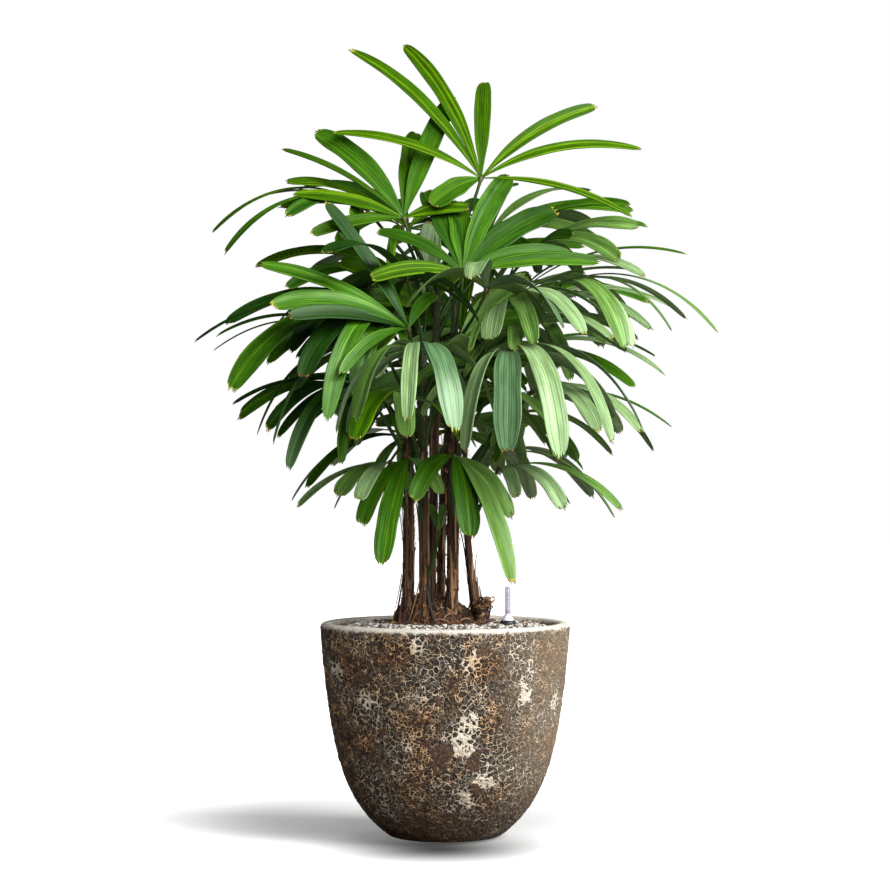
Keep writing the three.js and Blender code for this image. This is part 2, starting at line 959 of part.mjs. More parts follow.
// The stems come first, so that every leaflet can keep clear of them.
const names = fronds.map((frond, index) => "frond_" + twoDigits(index + 1));
const stems = fronds.map((frond, index) => growStalk(frond, names[index]));
for (const [index, frond] of fronds.entries()) {
  const stem = stems[index];
  if (!stem) continue;
  const plans = leafletPlans(frond, index);
  plans.sort((one, other) => Math.abs(one.angle) - Math.abs(other.angle));
  const leaflets = plans.map((plan) => growLeaflet(frond, plan, names[index])).filter(Boolean);
  const grown = leaflets.reduce((whole, leaflet) => whole.add(leaflet), stem);
  show(names[index], largestBody(grown), colors.leaf, 0.45);
}

export default palm;
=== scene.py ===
import math
import bpy
import numpy as np
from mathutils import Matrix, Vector, kdtree


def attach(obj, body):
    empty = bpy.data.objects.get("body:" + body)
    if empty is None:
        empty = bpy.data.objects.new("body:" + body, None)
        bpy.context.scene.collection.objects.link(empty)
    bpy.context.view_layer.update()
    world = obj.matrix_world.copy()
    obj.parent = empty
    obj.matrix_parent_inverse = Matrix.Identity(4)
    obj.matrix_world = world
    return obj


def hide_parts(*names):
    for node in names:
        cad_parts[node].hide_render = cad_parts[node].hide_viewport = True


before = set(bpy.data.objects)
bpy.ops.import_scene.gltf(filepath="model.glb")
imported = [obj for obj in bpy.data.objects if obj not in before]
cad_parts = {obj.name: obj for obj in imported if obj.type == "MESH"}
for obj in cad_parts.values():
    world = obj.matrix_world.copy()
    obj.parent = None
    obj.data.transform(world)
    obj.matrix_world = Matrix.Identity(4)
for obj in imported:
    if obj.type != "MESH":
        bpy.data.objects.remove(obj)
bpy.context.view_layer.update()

millimetre = 0.001
rng = np.random.default_rng(29)


def between(pair, share):
    return pair[0] + (pair[1] - pair[0]) * share


# sRGB hex to the linear colour that sockets take
def toLinear(code):
    parts = [int(code[i:i + 2], 16) / 255 for i in (1, 3, 5)]
    return (*[c / 12.92 if c <= 0.04045 else ((c + 0.055) / 1.055) ** 2.4 for c in parts], 1)


# one node with its settings, and its sockets linked or filled in
def addNode(tree, kind, sockets=None, **settings):
    node = tree.nodes.new(kind)
    for name, value in settings.items():
        setattr(node, name, value)
    for name, value in (sockets or {}).items():
        if isinstance(value, bpy.types.NodeSocket):
            tree.links.new(value, node.inputs[name])
        else:
            node.inputs[name].default_value = value
    return node


def maths(tree, operation, first, second=0.0, third=0.0):
    node = addNode(tree, "ShaderNodeMath", {0: first, 1: second, 2: third}, operation=operation)
    return node.outputs["Value"]


def vectorMaths(tree, operation, first, second):
    amount = "Scale" if operation == "SCALE" else 1
    node = addNode(tree, "ShaderNodeVectorMath", {0: first, amount: second}, operation=operation)
    return node.outputs["Value" if operation == "DISTANCE" else "Vector"]


def axisOf(tree, vector, axis):
    return addNode(tree, "ShaderNodeSeparateXYZ", {0: vector}).outputs[axis]


def objectPlace(tree):
    return addNode(tree, "ShaderNodeTexCoord").outputs["Object"]


# noise with waves of a size in millimetres
def noise(tree, place, size, detail=2, **sockets):
    return addNode(tree, "ShaderNodeTexNoise", {
        "Vector": place, "Scale": 1 / (size * millimetre), "Detail": detail, **sockets}).outputs


# cells of a size in millimetres
def cells(tree, place, size, feature="F1"):
    return addNode(tree, "ShaderNodeTexVoronoi", {
        "Vector": place, "Scale": 1 / (size * millimetre)}, feature=feature).outputs


def mix(tree, factor, first, second, kind="RGBA", blend="MIX"):
    return addNode(tree, "ShaderNodeMix", {
        "Factor": factor, "A": first, "B": second}, data_type=kind, blend_type=blend).outputs["Result"]


# a value from low to high becomes one from newLow to newHigh, and no more than that
def spread(tree, value, low, high, newLow=0.0, newHigh=1.0, soft="SMOOTHSTEP"):
    node = addNode(tree, "ShaderNodeMapRange", {
        "Value": value, "From Min": low, "From Max": high, "To Min": newLow, "To Max": newHigh,
    }, interpolation_type=soft)
    return node.outputs["Result"]


def colorRamp(tree, factor, stops):
    node = addNode(tree, "ShaderNodeValToRGB", {"Fac": factor})
    ramp = node.color_ramp
    while len(ramp.elements) < len(stops):
        ramp.elements.new(1)
    for element, (position, code) in zip(ramp.elements, stops):
        element.position = position
        element.color = toLinear(code)
    return node.outputs["Color"]


def addBump(tree, shader, height, strength, distance):
    bump = addNode(tree, "ShaderNodeBump", {"Height": height, "Strength": strength, "Distance": distance})
    tree.links.new(bump.outputs["Normal"], shader.inputs["Normal"])


def newMaterial(name, color, roughness, **sockets):
    material = bpy.data.materials.new(name)
    material.use_nodes = True
    shader = material.node_tree.nodes["Principled BSDF"]
    shader.inputs["Base Color"].default_value = toLinear(color)
    shader.inputs["Roughness"].default_value = roughness
    for socket, value in sockets.items():
        shader.inputs[socket].default_value = value
    return material, material.node_tree, shader


# one colour with a fine grain: its size in millimetres, detail, strength and depth in millimetres
def grainedMaterial(name, color, roughness, grain, stretch=None, **sockets):
    material, tree, shader = newMaterial(name, color, roughness, **sockets)
    size, detail, strength, depth = grain
    place = objectPlace(tree)
    if stretch:
        place = vectorMaths(tree, "MULTIPLY", place, stretch)
    addBump(tree, shader, noise(tree, place, size, detail)["Fac"], strength, depth * millimetre)
    return material


def startPiece():
    if bpy.context.object and bpy.context.object.mode != "OBJECT":
        bpy.ops.object.mode_set(mode="OBJECT")
    bpy.ops.object.select_all(action="DESELECT")


# a piece's place goes into its mesh
def settle(piece):
    piece.data.transform(piece.matrix_world)
    piece.matrix_world.identity()


# the piece rides on the part's one body, and stands for the nodes named
def finishPiece(piece, name, slot, *nodes):
    piece.name = piece.data.name = name
    settle(piece)
    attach(piece, "root")
    if nodes:
        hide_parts(*nodes)
    return piece


def applyModifier(piece, kind, **settings):
    modifier = piece.modifiers.new(kind.lower(), kind)
    for name, value in settings.items():
        setattr(modifier, name, value)
    bpy.context.view_layer.objects.active = piece
    bpy.ops.object.modifier_apply(modifier=modifier.name)


def outwards(piece):
    startPiece()
    piece.select_set(True)
    bpy.context.view_layer.objects.active = piece
    bpy.ops.object.mode_set(mode="EDIT")
    bpy.ops.mesh.select_all(action="SELECT")
    bpy.ops.mesh.remove_doubles(threshold=1e-6)
    bpy.ops.mesh.normals_make_consistent(inside=False)
    bpy.ops.object.mode_set(mode="OBJECT")


# a ring pulled through rows of place and radius in millimetres, with both ends closed
def pulledPiece(name, rows, around, stretch=None):
    startPiece()
    place, radius = rows[0]
    bpy.ops.mesh.primitive_circle_add(
        vertices=around, radius=radius * millimetre, fill_type="NOTHING",
        location=[part * millimetre for part in place])
    piece = bpy.context.object
    piece.name = name
    bpy.ops.object.mode_set(mode="EDIT")
    bpy.ops.mesh.select_all(action="SELECT")
    if stretch:
        bpy.ops.transform.resize(value=(*stretch, 1))
    for (lastPlace, lastRadius), (place, radius) in zip(rows, rows[1:]):
        move = [(new - last) * millimetre for new, last in zip(place, lastPlace)]
        grow = radius / lastRadius
        bpy.ops.mesh.extrude_region_move(TRANSFORM_OT_translate={"value": move})
        bpy.ops.transform.resize(value=(grow, grow, 1))
    bpy.ops.mesh.select_all(action="SELECT")
    bpy.ops.mesh.fill_holes(sides=0)
    bpy.ops.object.mode_set(mode="OBJECT")
    outwards(piece)
    return piece


# many small shapes as one mesh: points, corner lists of one length and a material number for each face
def joinedMesh(name, points, faces, tones, materials, smooth=True, uv=None):
    mesh = bpy.data.meshes.new(name)
    points, faces = np.asarray(points, np.float32), np.asarray(faces, np.int32)
    count, sides = faces.shape
    mesh.vertices.add(len(points))
    mesh.vertices.foreach_set("co", points.ravel())
    mesh.loops.add(count * sides)
    mesh.loops.foreach_set("vertex_index", faces.ravel())
    mesh.polygons.add(count)
    mesh.polygons.foreach_set("loop_start", np.arange(0, count * sides, sides, dtype=np.int32))
    mesh.polygons.foreach_set("material_index", np.asarray(tones, np.int32))
    mesh.polygons.foreach_set("use_smooth", np.full(count, smooth))
    for material in materials:
        mesh.materials.append(material)
    mesh.update(calc_edges=True)
    if uv is not None:
        layer = mesh.uv_layers.new(name="alongBlade")
        layer.data.foreach_set("uv", np.asarray(uv, np.float32)[faces.ravel()].ravel())
    mesh.validate()
    piece = bpy.data.objects.new(name, mesh)
    bpy.context.collection.objects.link(piece)
    return piece


# refines a piece, and shifts every point along its normal by a pattern made of nodes
def addRelief(piece, pattern, levels, subdivision="CATMULL_CLARK"):
    applyModifier(piece, "SUBSURF", levels=levels, render_levels=levels, subdivision_type=subdivision)
    group = bpy.data.node_groups.new(piece.name + "Relief", "GeometryNodeTree")
    for way in ("INPUT", "OUTPUT"):
        group.interface.new_socket("Geometry", in_out=way, socket_type="NodeSocketGeometry")
    start = addNode(group, "NodeGroupInput")
    place = addNode(group, "GeometryNodeInputPosition").outputs["Position"]
    normal = addNode(group, "GeometryNodeInputNormal").outputs["Normal"]
    moved = addNode(group, "GeometryNodeSetPosition", {
        "Geometry": start.outputs["Geometry"],
        "Offset": vectorMaths(group, "SCALE", normal, pattern(group, place)["height"]),
    })
    addNode(group, "NodeGroupOutput", {"Geometry": moved.outputs["Geometry"]})
    applyModifier(piece, "NODES", node_group=group)


def smoothAndPaint(piece, material):
    for face in piece.data.polygons:
        face.use_smooth = True
    piece.data.materials.append(material)


studio = {
    "cameraPlace": (0, -4.5, 0.629),
    "lens": 113.3,
    "sensor": 36,
    "sight": 200,
    "floorRadius": 14,
    "floorSeen": "#bcbcbb",
    "floorPaintedShadow": "#484848",  # painted shadow where the pot stands
    "floorBounce": "#8c8c8b",  # what the floor gives back to the plant
    "shadeCentre": (-0.01, -0.14, 0),
    "shade": (0.0, 0.26),  # painted contact shadow, from the pot's foot to plain floor
    "fadeCentre": (-0.08, 0.25, 0),
    "fade": (0.2, 0.55),  # from plain floor to plain white
    "glow": (0.28, 1.0),  # how the floor glows at those two places
    "skyStrength": 0.045,
    "sun": {"from": (1.4, -0.75, 1.25), "strength": 5.3, "softness": 32},
    # place, aim, width, height, power and whether it lights only the floor or only the rest
    "boxes": {
        "frontPanel": ((1.1, -3.1, 2.5), (0, 0, 0.6), 1.8, 3.0, 165, "EXCLUDE"),
        "leftFill": ((-3.0, -2.6, 1.3), (0, 0, 0.5), 1.6, 1.6, 13, "EXCLUDE"),
        "overhead": ((0, 0, 3.2), (0, 0, 0), 2.0, 2.0, 90, "INCLUDE"),
    },
}


def placeCamera():
    data = bpy.data.cameras.new("camera")
    data.lens, data.sensor_width, data.clip_end = studio["lens"], studio["sensor"], studio["sight"]
    camera = bpy.data.objects.new("camera", data)
    bpy.context.collection.objects.link(camera)
    camera.location = studio["cameraPlace"]
    camera.rotation_euler = (math.pi / 2, 0, 0)
    bpy.context.scene.camera = camera
    bpy.context.scene.view_settings.view_transform = "Standard"


# painted boards with faint roller marks: darker round the pot's foot with a painted shadow, glowing to white
# further out
def floorMaterial():
    material, tree, shader = newMaterial("whitePaintedFloor", studio["floorSeen"], 0.9, **{
        "Emission Color": (1, 1, 1, 1), "Specular IOR Level": 0.1})
    seen = addNode(tree, "ShaderNodeLightPath").outputs["Is Camera Ray"]
    place = objectPlace(tree)
    # painted contact shadow: the floor's colour darkens towards the pot's foot
    outsidePaintedShadow = spread(tree, vectorMaths(tree, "DISTANCE", place, studio["shadeCentre"]), *studio["shade"])
    paint = mix(tree, outsidePaintedShadow, toLinear(studio["floorPaintedShadow"]), toLinear(studio["floorSeen"]))
    color = mix(tree, seen, toLinear(studio["floorBounce"]), paint)
    tree.links.new(color, shader.inputs["Base Color"])
    farOut = vectorMaths(tree, "DISTANCE", place, studio["fadeCentre"])
    glow = maths(tree, "MULTIPLY", maths(tree, "MULTIPLY", seen, outsidePaintedShadow),
                 spread(tree, farOut, *studio["fade"], *studio["glow"]))
    tree.links.new(glow, shader.inputs["Emission Strength"])
    rollerMarks = addNode(tree, "ShaderNodeTexNoise", {"Scale": 40, "Detail": 2})
    addBump(tree, shader, rollerMarks.outputs["Fac"], 0.02, millimetre)
    return material


def layFloor():
    startPiece()
    bpy.ops.mesh.primitive_circle_add(vertices=96, radius=studio["floorRadius"], fill_type="NGON")
    floor = bpy.context.object
    floor.name = "floor"
    floor.data.materials.append(floorMaterial())
    return floor


# the room lights the plant softly, and shows white behind it
def paintRoom():
    world = bpy.data.worlds.new("studioRoom")
    bpy.context.scene.world = world
    world.use_nodes = True
    tree = world.node_tree
    tree.nodes.clear()
    rays = addNode(tree, "ShaderNodeLightPath").outputs
    seen = maths(tree, "MAXIMUM", rays["Is Camera Ray"], rays["Is Transmission Ray"])
    lit, white = [addNode(tree, "ShaderNodeBackground", {"Color": (1, 1, 1, 1), "Strength": strength})
                  for strength in (studio["skyStrength"], 1)]
    mixed = addNode(tree, "ShaderNodeMixShader", {
        "Fac": seen, 1: lit.outputs["Background"], 2: white.outputs["Background"]})
    addNode(tree, "ShaderNodeOutputWorld", {"Surface": mixed.outputs["Shader"]})


def addLight(name, kind, place, aim, power):
    data = bpy.data.lights.new(name, kind)
    data.energy = power
    light = bpy.data.objects.new(name, data)
    bpy.context.collection.objects.link(light)
    light.location = place
    light.rotation_euler = (Vector(aim) - Vector(place)).to_track_quat("-Z", "Y").to_euler()
    return light


def hangLights(floor):
    sun = addLight("sun", "SUN", studio["sun"]["from"], (0, 0, 0), studio["sun"]["strength"])
    sun.data.angle = math.radians(studio["sun"]["softness"])
    linked = {}
    for state in ("INCLUDE", "EXCLUDE"):
        linked[state] = bpy.data.collections.new("floor" + state.title())
        linked[state].objects.link(floor)
        linked[state].collection_objects[0].light_linking.link_state = state
    for name, (place, aim, width, height, power, state) in studio["boxes"].items():
        box = addLight(name, "AREA", place, aim, power)
        box.data.shape = "RECTANGLE"
        box.data.size, box.data.size_y = width, height
        box.light_linking.receiver_collection = linked[state]


placeCamera()
hangLights(layFloor())
paintRoom()
print("studio ready")


pot = {
    "height": 345,
    "rimRadius": 200,
    "footRadius": 84,
    "belly": ((160, 54), (183, 120)),
    "wall": 19,
    "lip": 8,
    "lipTurns": (20, 90, 180),  # degrees: where the lip starts, is highest and ends
    "innerDepth": 34,
    "around": 104,
    "outerRings": 34,
    "lipRings": 4,
    "innerRings": 5,
    "smoothness": 2,
    "cellSize": 9.5,  # across one mesh of the net of seams
    "fineCellSize": 5.6,
    "lumpSize": 6.4,
    "crumbSize": 2.7,
    "grainSize": 1.8,
    "speckSize": 4.5,
    "blisterSize": 27,
    "swellSize": 12,
    "zoneSize": 70,
    "tintSize": 64,
    "patchSize": 62,
    "gapSize": 13,  # of the breaks in the net
    "raggedSize": 9,  # of what makes the seams and the rim's edge uneven
    "bends": ((24, 12), (6, 3.6)),  # size of a wave that bends the net, and how far it shifts it
    "blisterBend": (9, 6),
    "paleRuns": [  # x, height and radius of the pale patches; the far side repeats the near one
        (49, 285, 24), (35, 201, 16), (26, 164, 22), (-24, 131, 18), (-52, 169, 16), (35, 79, 14),
        (64, 104, 13), (-167, 279, 15), (-120, 234, 18), (-43, 319, 12), (125, 234, 15), (173, 226, 16)],
    "bareRuns": [  # and of the smooth brown plates
        (50, 316, 15), (12, 190, 9), (-5, 152, 14), (44, 135, 14), (-128, 269, 12), (50, 99, 11), (-60, 215, 9)],
    "runEdge": (1.9, 0.4),  # where a run fades out and where it is whole, of its radius
    "runPull": 0.19,  # what a run adds to the noise below it
    "zones": (0.46, 0.54),  # where in the zone noise the mesh goes over from fine to wide
    "net": (0.36, 0.52),  # where in the patch noise the net begins, and where it is whole
    "patches": (0.61, 0.72),  # and where it widens to a pale, pitted patch
    "blisters": (0.665, 0.685),
    "veinWidth": (0.45, 1.7),  # half width of the seams, plain and in a patch
    "veinUneven": (0.36, 0.62, 0.45, 1.5),
    "veinEdge": (1.15, 0.75),  # outside and inside a seam, of its width
    "basin": (0.2, 1.8),  # from a seam's edge to the plain floor of a cell
    "domeEdge": (0.68, 0.38),
    "crumbEdge": (0.8, 0.2),
    "domeHeight": 0.6,
    "crumbHeight": 0.6,
    "swellHeight": 1.2,
    "seamHeight": 0.8,
    "ledge": (-6, 3),  # where the rim's own glaze starts and is whole, above the top
    "ledgeWave": 10,
    "calmFoot": 8,
    "calmRim": 0.2,  # share of the relief that is left on the rim
}


def potSide(share):
    (lowR, lowZ), (highR, highZ) = pot["belly"]
    ends = [(pot["footRadius"], 0), (lowR, lowZ), (highR, highZ), (pot["rimRadius"], pot["height"] - pot["lip"])]
    weights = [(1 - share) ** 3, 3 * share * (1 - share) ** 2, 3 * share ** 2 * (1 - share), share ** 3]
    return [sum(w * end[i] for w, end in zip(weights, ends)) for i in (0, 1)]


# radius and height up the side, over the lip and down inside
def potProfile():
    rows = [potSide(i / pot["outerRings"]) for i in range(pot["outerRings"] + 1)]
    lip, shoulder = pot["lip"], pot["height"] - pot["lip"]
    start, top, end = pot["lipTurns"]
    innerRadius = pot["rimRadius"] - pot["wall"]
    for centre, first, last in ((pot["rimRadius"] - lip, start, top), (innerRadius + lip, top, end)):
        for i in range(pot["lipRings"] + 1):
            angle = math.radians(first + (last - first) * i / pot["lipRings"])
            rows.append([centre + lip * math.cos(angle), shoulder + lip * math.sin(angle)])
    for i in range(1, pot["innerRings"] + 1):
        rows.append([innerRadius, shoulder - pot["innerDepth"] * i / pot["innerRings"]])
    return rows


def buildPot():
    piece = pulledPiece("pot", [((0, 0, z), radius) for radius, z in potProfile()], pot["around"])
    addRelief(piece, crustPattern, pot["smoothness"])
    places = np.empty(len(piece.data.vertices) * 3, np.float32)
    piece.data.vertices.foreach_get("co", places)
    places[2::3] = np.maximum(places[2::3], 0)  # the foot stays flat on the floor
    piece.data.vertices.foreach_set("co", places)
    piece.data.update()
    smoothAndPaint(piece, glazeMaterial())
    return finishPiece(piece, "potShell", "pot", "pot")


# a place on the wall, by how far it lies to the right and how high
def wallPlace(x, z):
    rows = np.array([potSide(share) for share in np.linspace(0, 1, 60)])
    radius = np.interp(z, rows[:, 1], rows[:, 0])
    return x * millimetre, -math.sqrt(max(0, radius ** 2 - x ** 2)) * millimetre, z * millimetre


# a place shifted by waves of a size, by an amount in millimetres
def shifted(tree, place, vector, size, amount):
    centred = vectorMaths(tree, "SUBTRACT", noise(tree, place, size)["Color"], (0.5, 0.5, 0.5))
    return vectorMaths(tree, "ADD", vector, vectorMaths(tree, "SCALE", centred, amount * millimetre))


# 1 in the middle of a run, 0 outside; the far side repeats the near one
def inRuns(tree, place, runs):
    right, deep, up = [axisOf(tree, place, axis) for axis in "XYZ"]
    nearSide = addNode(tree, "ShaderNodeCombineXYZ", {
        "X": right, "Y": maths(tree, "MULTIPLY", maths(tree, "ABSOLUTE", deep), -1.0), "Z": up,
    }).outputs["Vector"]
    outer, inner = pot["runEdge"]
    inside = 0.0
    for x, z, radius in runs:
        away = vectorMaths(tree, "DISTANCE", nearSide, wallPlace(x, z))
        inside = maths(tree, "MAXIMUM", inside, spread(
            tree, away, radius * outer * millimetre, radius * inner * millimetre))
    return inside


# lumps and blisters, with a net of pale seams that closes to pitted patches in places
def crustPattern(tree, place):
    bent = place
    for size, amount in pot["bends"]:
        bent = shifted(tree, place, bent, size, amount)
    fine = noise(tree, place, pot["grainSize"], 4, Roughness=0.6)["Fac"]
    zone = noise(tree, place, pot["zoneSize"])["Fac"]
    patch = maths(tree, "MULTIPLY_ADD", noise(tree, bent, pot["patchSize"], 3)["Fac"], 0.75, 0.125)
    patch = maths(tree, "MULTIPLY_ADD", inRuns(tree, bent, pot["paleRuns"]), pot["runPull"], patch)

    # the net has a finer mesh in some zones, and stops at the blisters
    fineEdge, wideEdge = [
        maths(tree, "MULTIPLY", cells(tree, bent, size, "DISTANCE_TO_EDGE")["Distance"], size)
        for size in (pot["fineCellSize"], pot["cellSize"])]
    edge = mix(tree, spread(tree, zone, *pot["zones"]), fineEdge, wideEdge, "FLOAT")
    swollen = shifted(tree, place, place, *pot["blisterBend"])
    swollen = noise(tree, swollen, pot["blisterSize"], Roughness=0.4)["Fac"]
    swollen = maths(tree, "MULTIPLY_ADD", inRuns(tree, bent, pot["bareRuns"]), pot["runPull"], swollen)
    isBlister = spread(tree, swollen, *pot["blisters"])
    edge = maths(tree, "MAXIMUM", edge, maths(tree, "MULTIPLY", isBlister, 4.0))

    # seams are widest in the pale patches, uneven all along and broken in places
    patchFrom, patchFull = pot["patches"]
    width = spread(tree, patch, patchFrom, patchFull, *pot["veinWidth"])
    uneven = noise(tree, place, pot["raggedSize"])["Fac"]
    width = maths(tree, "MULTIPLY", width, spread(tree, uneven, *pot["veinUneven"]))
    ragged = maths(tree, "ADD", edge, maths(tree, "MULTIPLY_ADD", fine, 1.2, -0.6))
    vein = spread(tree, maths(tree, "DIVIDE", ragged, width), *pot["veinEdge"])
    gaps = maths(tree, "MULTIPLY_ADD", noise(tree, place, pot["gapSize"])["Fac"], 0.8, -0.4)
    net = spread(tree, maths(tree, "ADD", patch, gaps), *pot["net"])
    vein = maths(tree, "MULTIPLY", vein, net)
    basin = spread(tree, maths(tree, "SUBTRACT", edge, width), *pot["basin"])

    lump = cells(tree, bent, pot["lumpSize"])
    creviceEdge = cells(tree, bent, pot["lumpSize"], "DISTANCE_TO_EDGE")["Distance"]
    crumb = cells(tree, bent, pot["crumbSize"])
    dome = spread(tree, lump["Distance"], *pot["domeEdge"], 0.0, pot["domeHeight"])
    small = spread(tree, crumb["Distance"], *pot["crumbEdge"], 0.0, pot["crumbHeight"])
    rough = maths(tree, "ADD", maths(tree, "ADD", dome, small), maths(tree, "MULTIPLY_ADD", fine, 2.0, -1.0))
    swell = maths(tree, "SUBTRACT", noise(tree, place, pot["swellSize"], 3, Roughness=0.6)["Fac"], 0.5)
    rough = maths(tree, "ADD", rough, maths(tree, "MULTIPLY", swell, 2 * pot["swellHeight"]))
    rough = mix(tree, isBlister, rough, maths(tree, "MULTIPLY_ADD", fine, 1.4, 0.3), "FLOAT")

    # the crust is calm at the foot and on the rim
    level = axisOf(tree, place, "Z")
    wave = noise(tree, place, pot["raggedSize"], 3)["Fac"]
    ledge = maths(tree, "MULTIPLY_ADD", wave, pot["ledgeWave"] * millimetre, level)
    rim = spread(tree, ledge, *[(pot["height"] + part) * millimetre for part in pot["ledge"]])
    calm = maths(tree, "MULTIPLY", spread(tree, level, 0.0, pot["calmFoot"] * millimetre),
                 spread(tree, rim, 0, 1, 1.0, pot["calmRim"]))
    total = maths(tree, "MULTIPLY_ADD", vein, pot["seamHeight"], rough)
    centred = maths(tree, "SUBTRACT", total, pot["domeHeight"])
    return {
        "height": maths(tree, "MULTIPLY", maths(tree, "MULTIPLY", centred, calm), millimetre),
        "relief": rough, "vein": vein, "net": net, "fine": fine, "rim": rim, "basin": basin, "level": level,
        "lump": lump["Color"], "crumb": crumb["Color"], "blister": isBlister,
        "speck": noise(tree, place, pot["speckSize"], 4, Roughness=0.7)["Fac"],
        # where painted shadow fills the crevices between lumps
        "crevice": spread(tree, creviceEdge, 0.2, 0.0),
        "patch": spread(tree, patch, patchFrom - 0.05, patchFull - 0.04),
    }


glaze = {
    "plain": "#4a4038",
    "tintShift": (-0.2, 0.2, -0.05, 0.06),  # by how far to the right
    "zones": [(0.32, "#b48558"), (0.42, "#ad9274"), (0.50, "#b0a18e"), (0.58, "#9ea4a8"), (0.64, "#a8a195"),
              (0.74, "#beaa90")],
    "lumpShades": (0.3, 0.2, 1.5, 0.5),  # how much lumps, crumbs and specks count, and what is taken off
    "lumps": [(0.2, "#5f564e"), (0.42, "#a89d92"), (0.6, "#d2c9be"), (0.85, "#fffaf2")],
    "blister": "#765a45",
    "reliefReach": (-0.6, 1.6),  # the lowest and highest relief that the painted cavity shade follows
    "paintedCavityShade": [(0.1, "#30271f"), (0.32, "#81776c"), (0.55, "#dad2c8"), (0.8, "#ffffff")],
    # painted shadow in the crevices between lumps
    "crevice": "#17110d",
    "creviceShadowShare": 0.75,
    "salt": [(0.36, "#5a524a"), (0.5, "#d4ccc2"), (0.6, "#ffffff")],
    # painted shade in the hollow of each cell beside its seams
    "hollowShade": [(0.0, "#7a6c5f"), (0.7, "#ffffff")],
    # a colour, where it starts and is full, and how much of it there is then
    # painted highlight on the crests of the relief
    "paintedCrestHighlight": ("#b3a48f", 1.1, 1.9, 0.0, 0.4),  # by relief
    # painted light: the skin is paler towards the right, where the light falls
    "paintedLightOnRight": ("#a8967e", 0.05, 0.19, 0.0, 0.4),  # by how far to the right
    "seamDust": ("#a88460", 0.58, 0.34, 0.0, 0.5),  # by grain
    "foot": ("#4a2f1c", 0.13, 0.0, 0.0, 0.6),  # by height
    "tanSeams": [(0.34, "#dfb080"), (0.46, "#dab991"), (0.58, "#d0bea4"), (0.7, "#d8ccb8")],
    "paleSeams": [(0.34, "#dcbc96"), (0.46, "#e2d0b4"), (0.58, "#e6dac6"), (0.7, "#e8dfce")],
    "seamShare": 0.92,
    "rimShare": 0.95,
    "rim": [(0.3, "#8f887c"), (0.5, "#c6bfb3"), (0.7, "#e6e1d7")],
    "roughness": (0.6, 0.88),  # of the skin and of the seams
}


# crater glaze on stoneware: a dry brown-grey skin broken into lumps, with pale seams between them; painted shade
# darkens its cavities, crevices and cell hollows, and painted light brightens its crests and its right side
def glazeMaterial():
    material, tree, shader = newMaterial("craterGlazedStoneware", glaze["plain"], 0.72, **{
        "Specular IOR Level": 0.3})
    place = objectPlace(tree)
    crust = crustPattern(tree, place)

    def tinted(color, factor, stops):
        return mix(tree, 1.0, color, colorRamp(tree, factor, stops), blend="MULTIPLY")

    def dustAndPaintedLight(color, value, name):
        code, *reach = glaze[name]
        return mix(tree, spread(tree, value, *reach), color, toLinear(code))

    across = axisOf(tree, place, "X")
    tint = noise(tree, place, pot["tintSize"], Lacunarity=2.3)["Fac"]
    tint = maths(tree, "ADD", tint, spread(tree, across, *glaze["tintShift"], "LINEAR"))
    # each lump and crumb has its own shade of the zone's colour
    lumpShade, crumbShade = [axisOf(tree, crust[part], "X") for part in ("lump", "crumb")]
    ofLump, ofCrumb, ofSpeck, less = glaze["lumpShades"]
    shade = maths(tree, "MULTIPLY_ADD", lumpShade, ofLump, maths(tree, "MULTIPLY", crumbShade, ofCrumb))
    shade = maths(tree, "MULTIPLY_ADD", crust["speck"], ofSpeck, maths(tree, "SUBTRACT", shade, less))
    skin = tinted(colorRamp(tree, tint, glaze["zones"]), shade, glaze["lumps"])
    skin = mix(tree, crust["blister"], skin, toLinear(glaze["blister"]))
    # painted shade: the skin darkens in the cavities of its relief
    skin = tinted(skin, spread(tree, crust["relief"], *glaze["reliefReach"], 0, 1, "LINEAR"), glaze["paintedCavityShade"])
    # painted shadow in the crevices between lumps
    crevice = maths(tree, "MULTIPLY", crust["crevice"], glaze["creviceShadowShare"])
    skin = mix(tree, crevice, skin, toLinear(glaze["crevice"]))
    skin = tinted(skin, crust["fine"], glaze["salt"])
    # painted shade in the hollow of each cell beside its seams
    skin = mix(tree, crust["net"], skin, tinted(skin, crust["basin"], glaze["hollowShade"]))
    # painted highlight on the crests, and painted light paling the right side
    skin = dustAndPaintedLight(dustAndPaintedLight(skin, crust["relief"], "paintedCrestHighlight"), across, "paintedLightOnRight")
    seams = mix(tree, crust["patch"], *[colorRamp(tree, tint, glaze[name]) for name in ("tanSeams", "paleSeams")])
    seams = dustAndPaintedLight(seams, crust["fine"], "seamDust")
    color = mix(tree, maths(tree, "MULTIPLY", crust["vein"], glaze["seamShare"]), skin, seams)
    color = dustAndPaintedLight(color, crust["level"], "foot")
    rimColor = colorRamp(tree, crust["fine"], glaze["rim"])
    color = mix(tree, spread(tree, crust["rim"], 0, 1, 0.0, glaze["rimShare"]), color, rimColor)
    tree.links.new(color, shader.inputs["Base Color"])
    tree.links.new(spread(tree, crust["vein"], 0, 1, *glaze["roughness"]), shader.inputs["Roughness"])
    addBump(tree, shader, crust["height"], 1.0, 1.5)
    return material


buildPot()
print("pot ready")


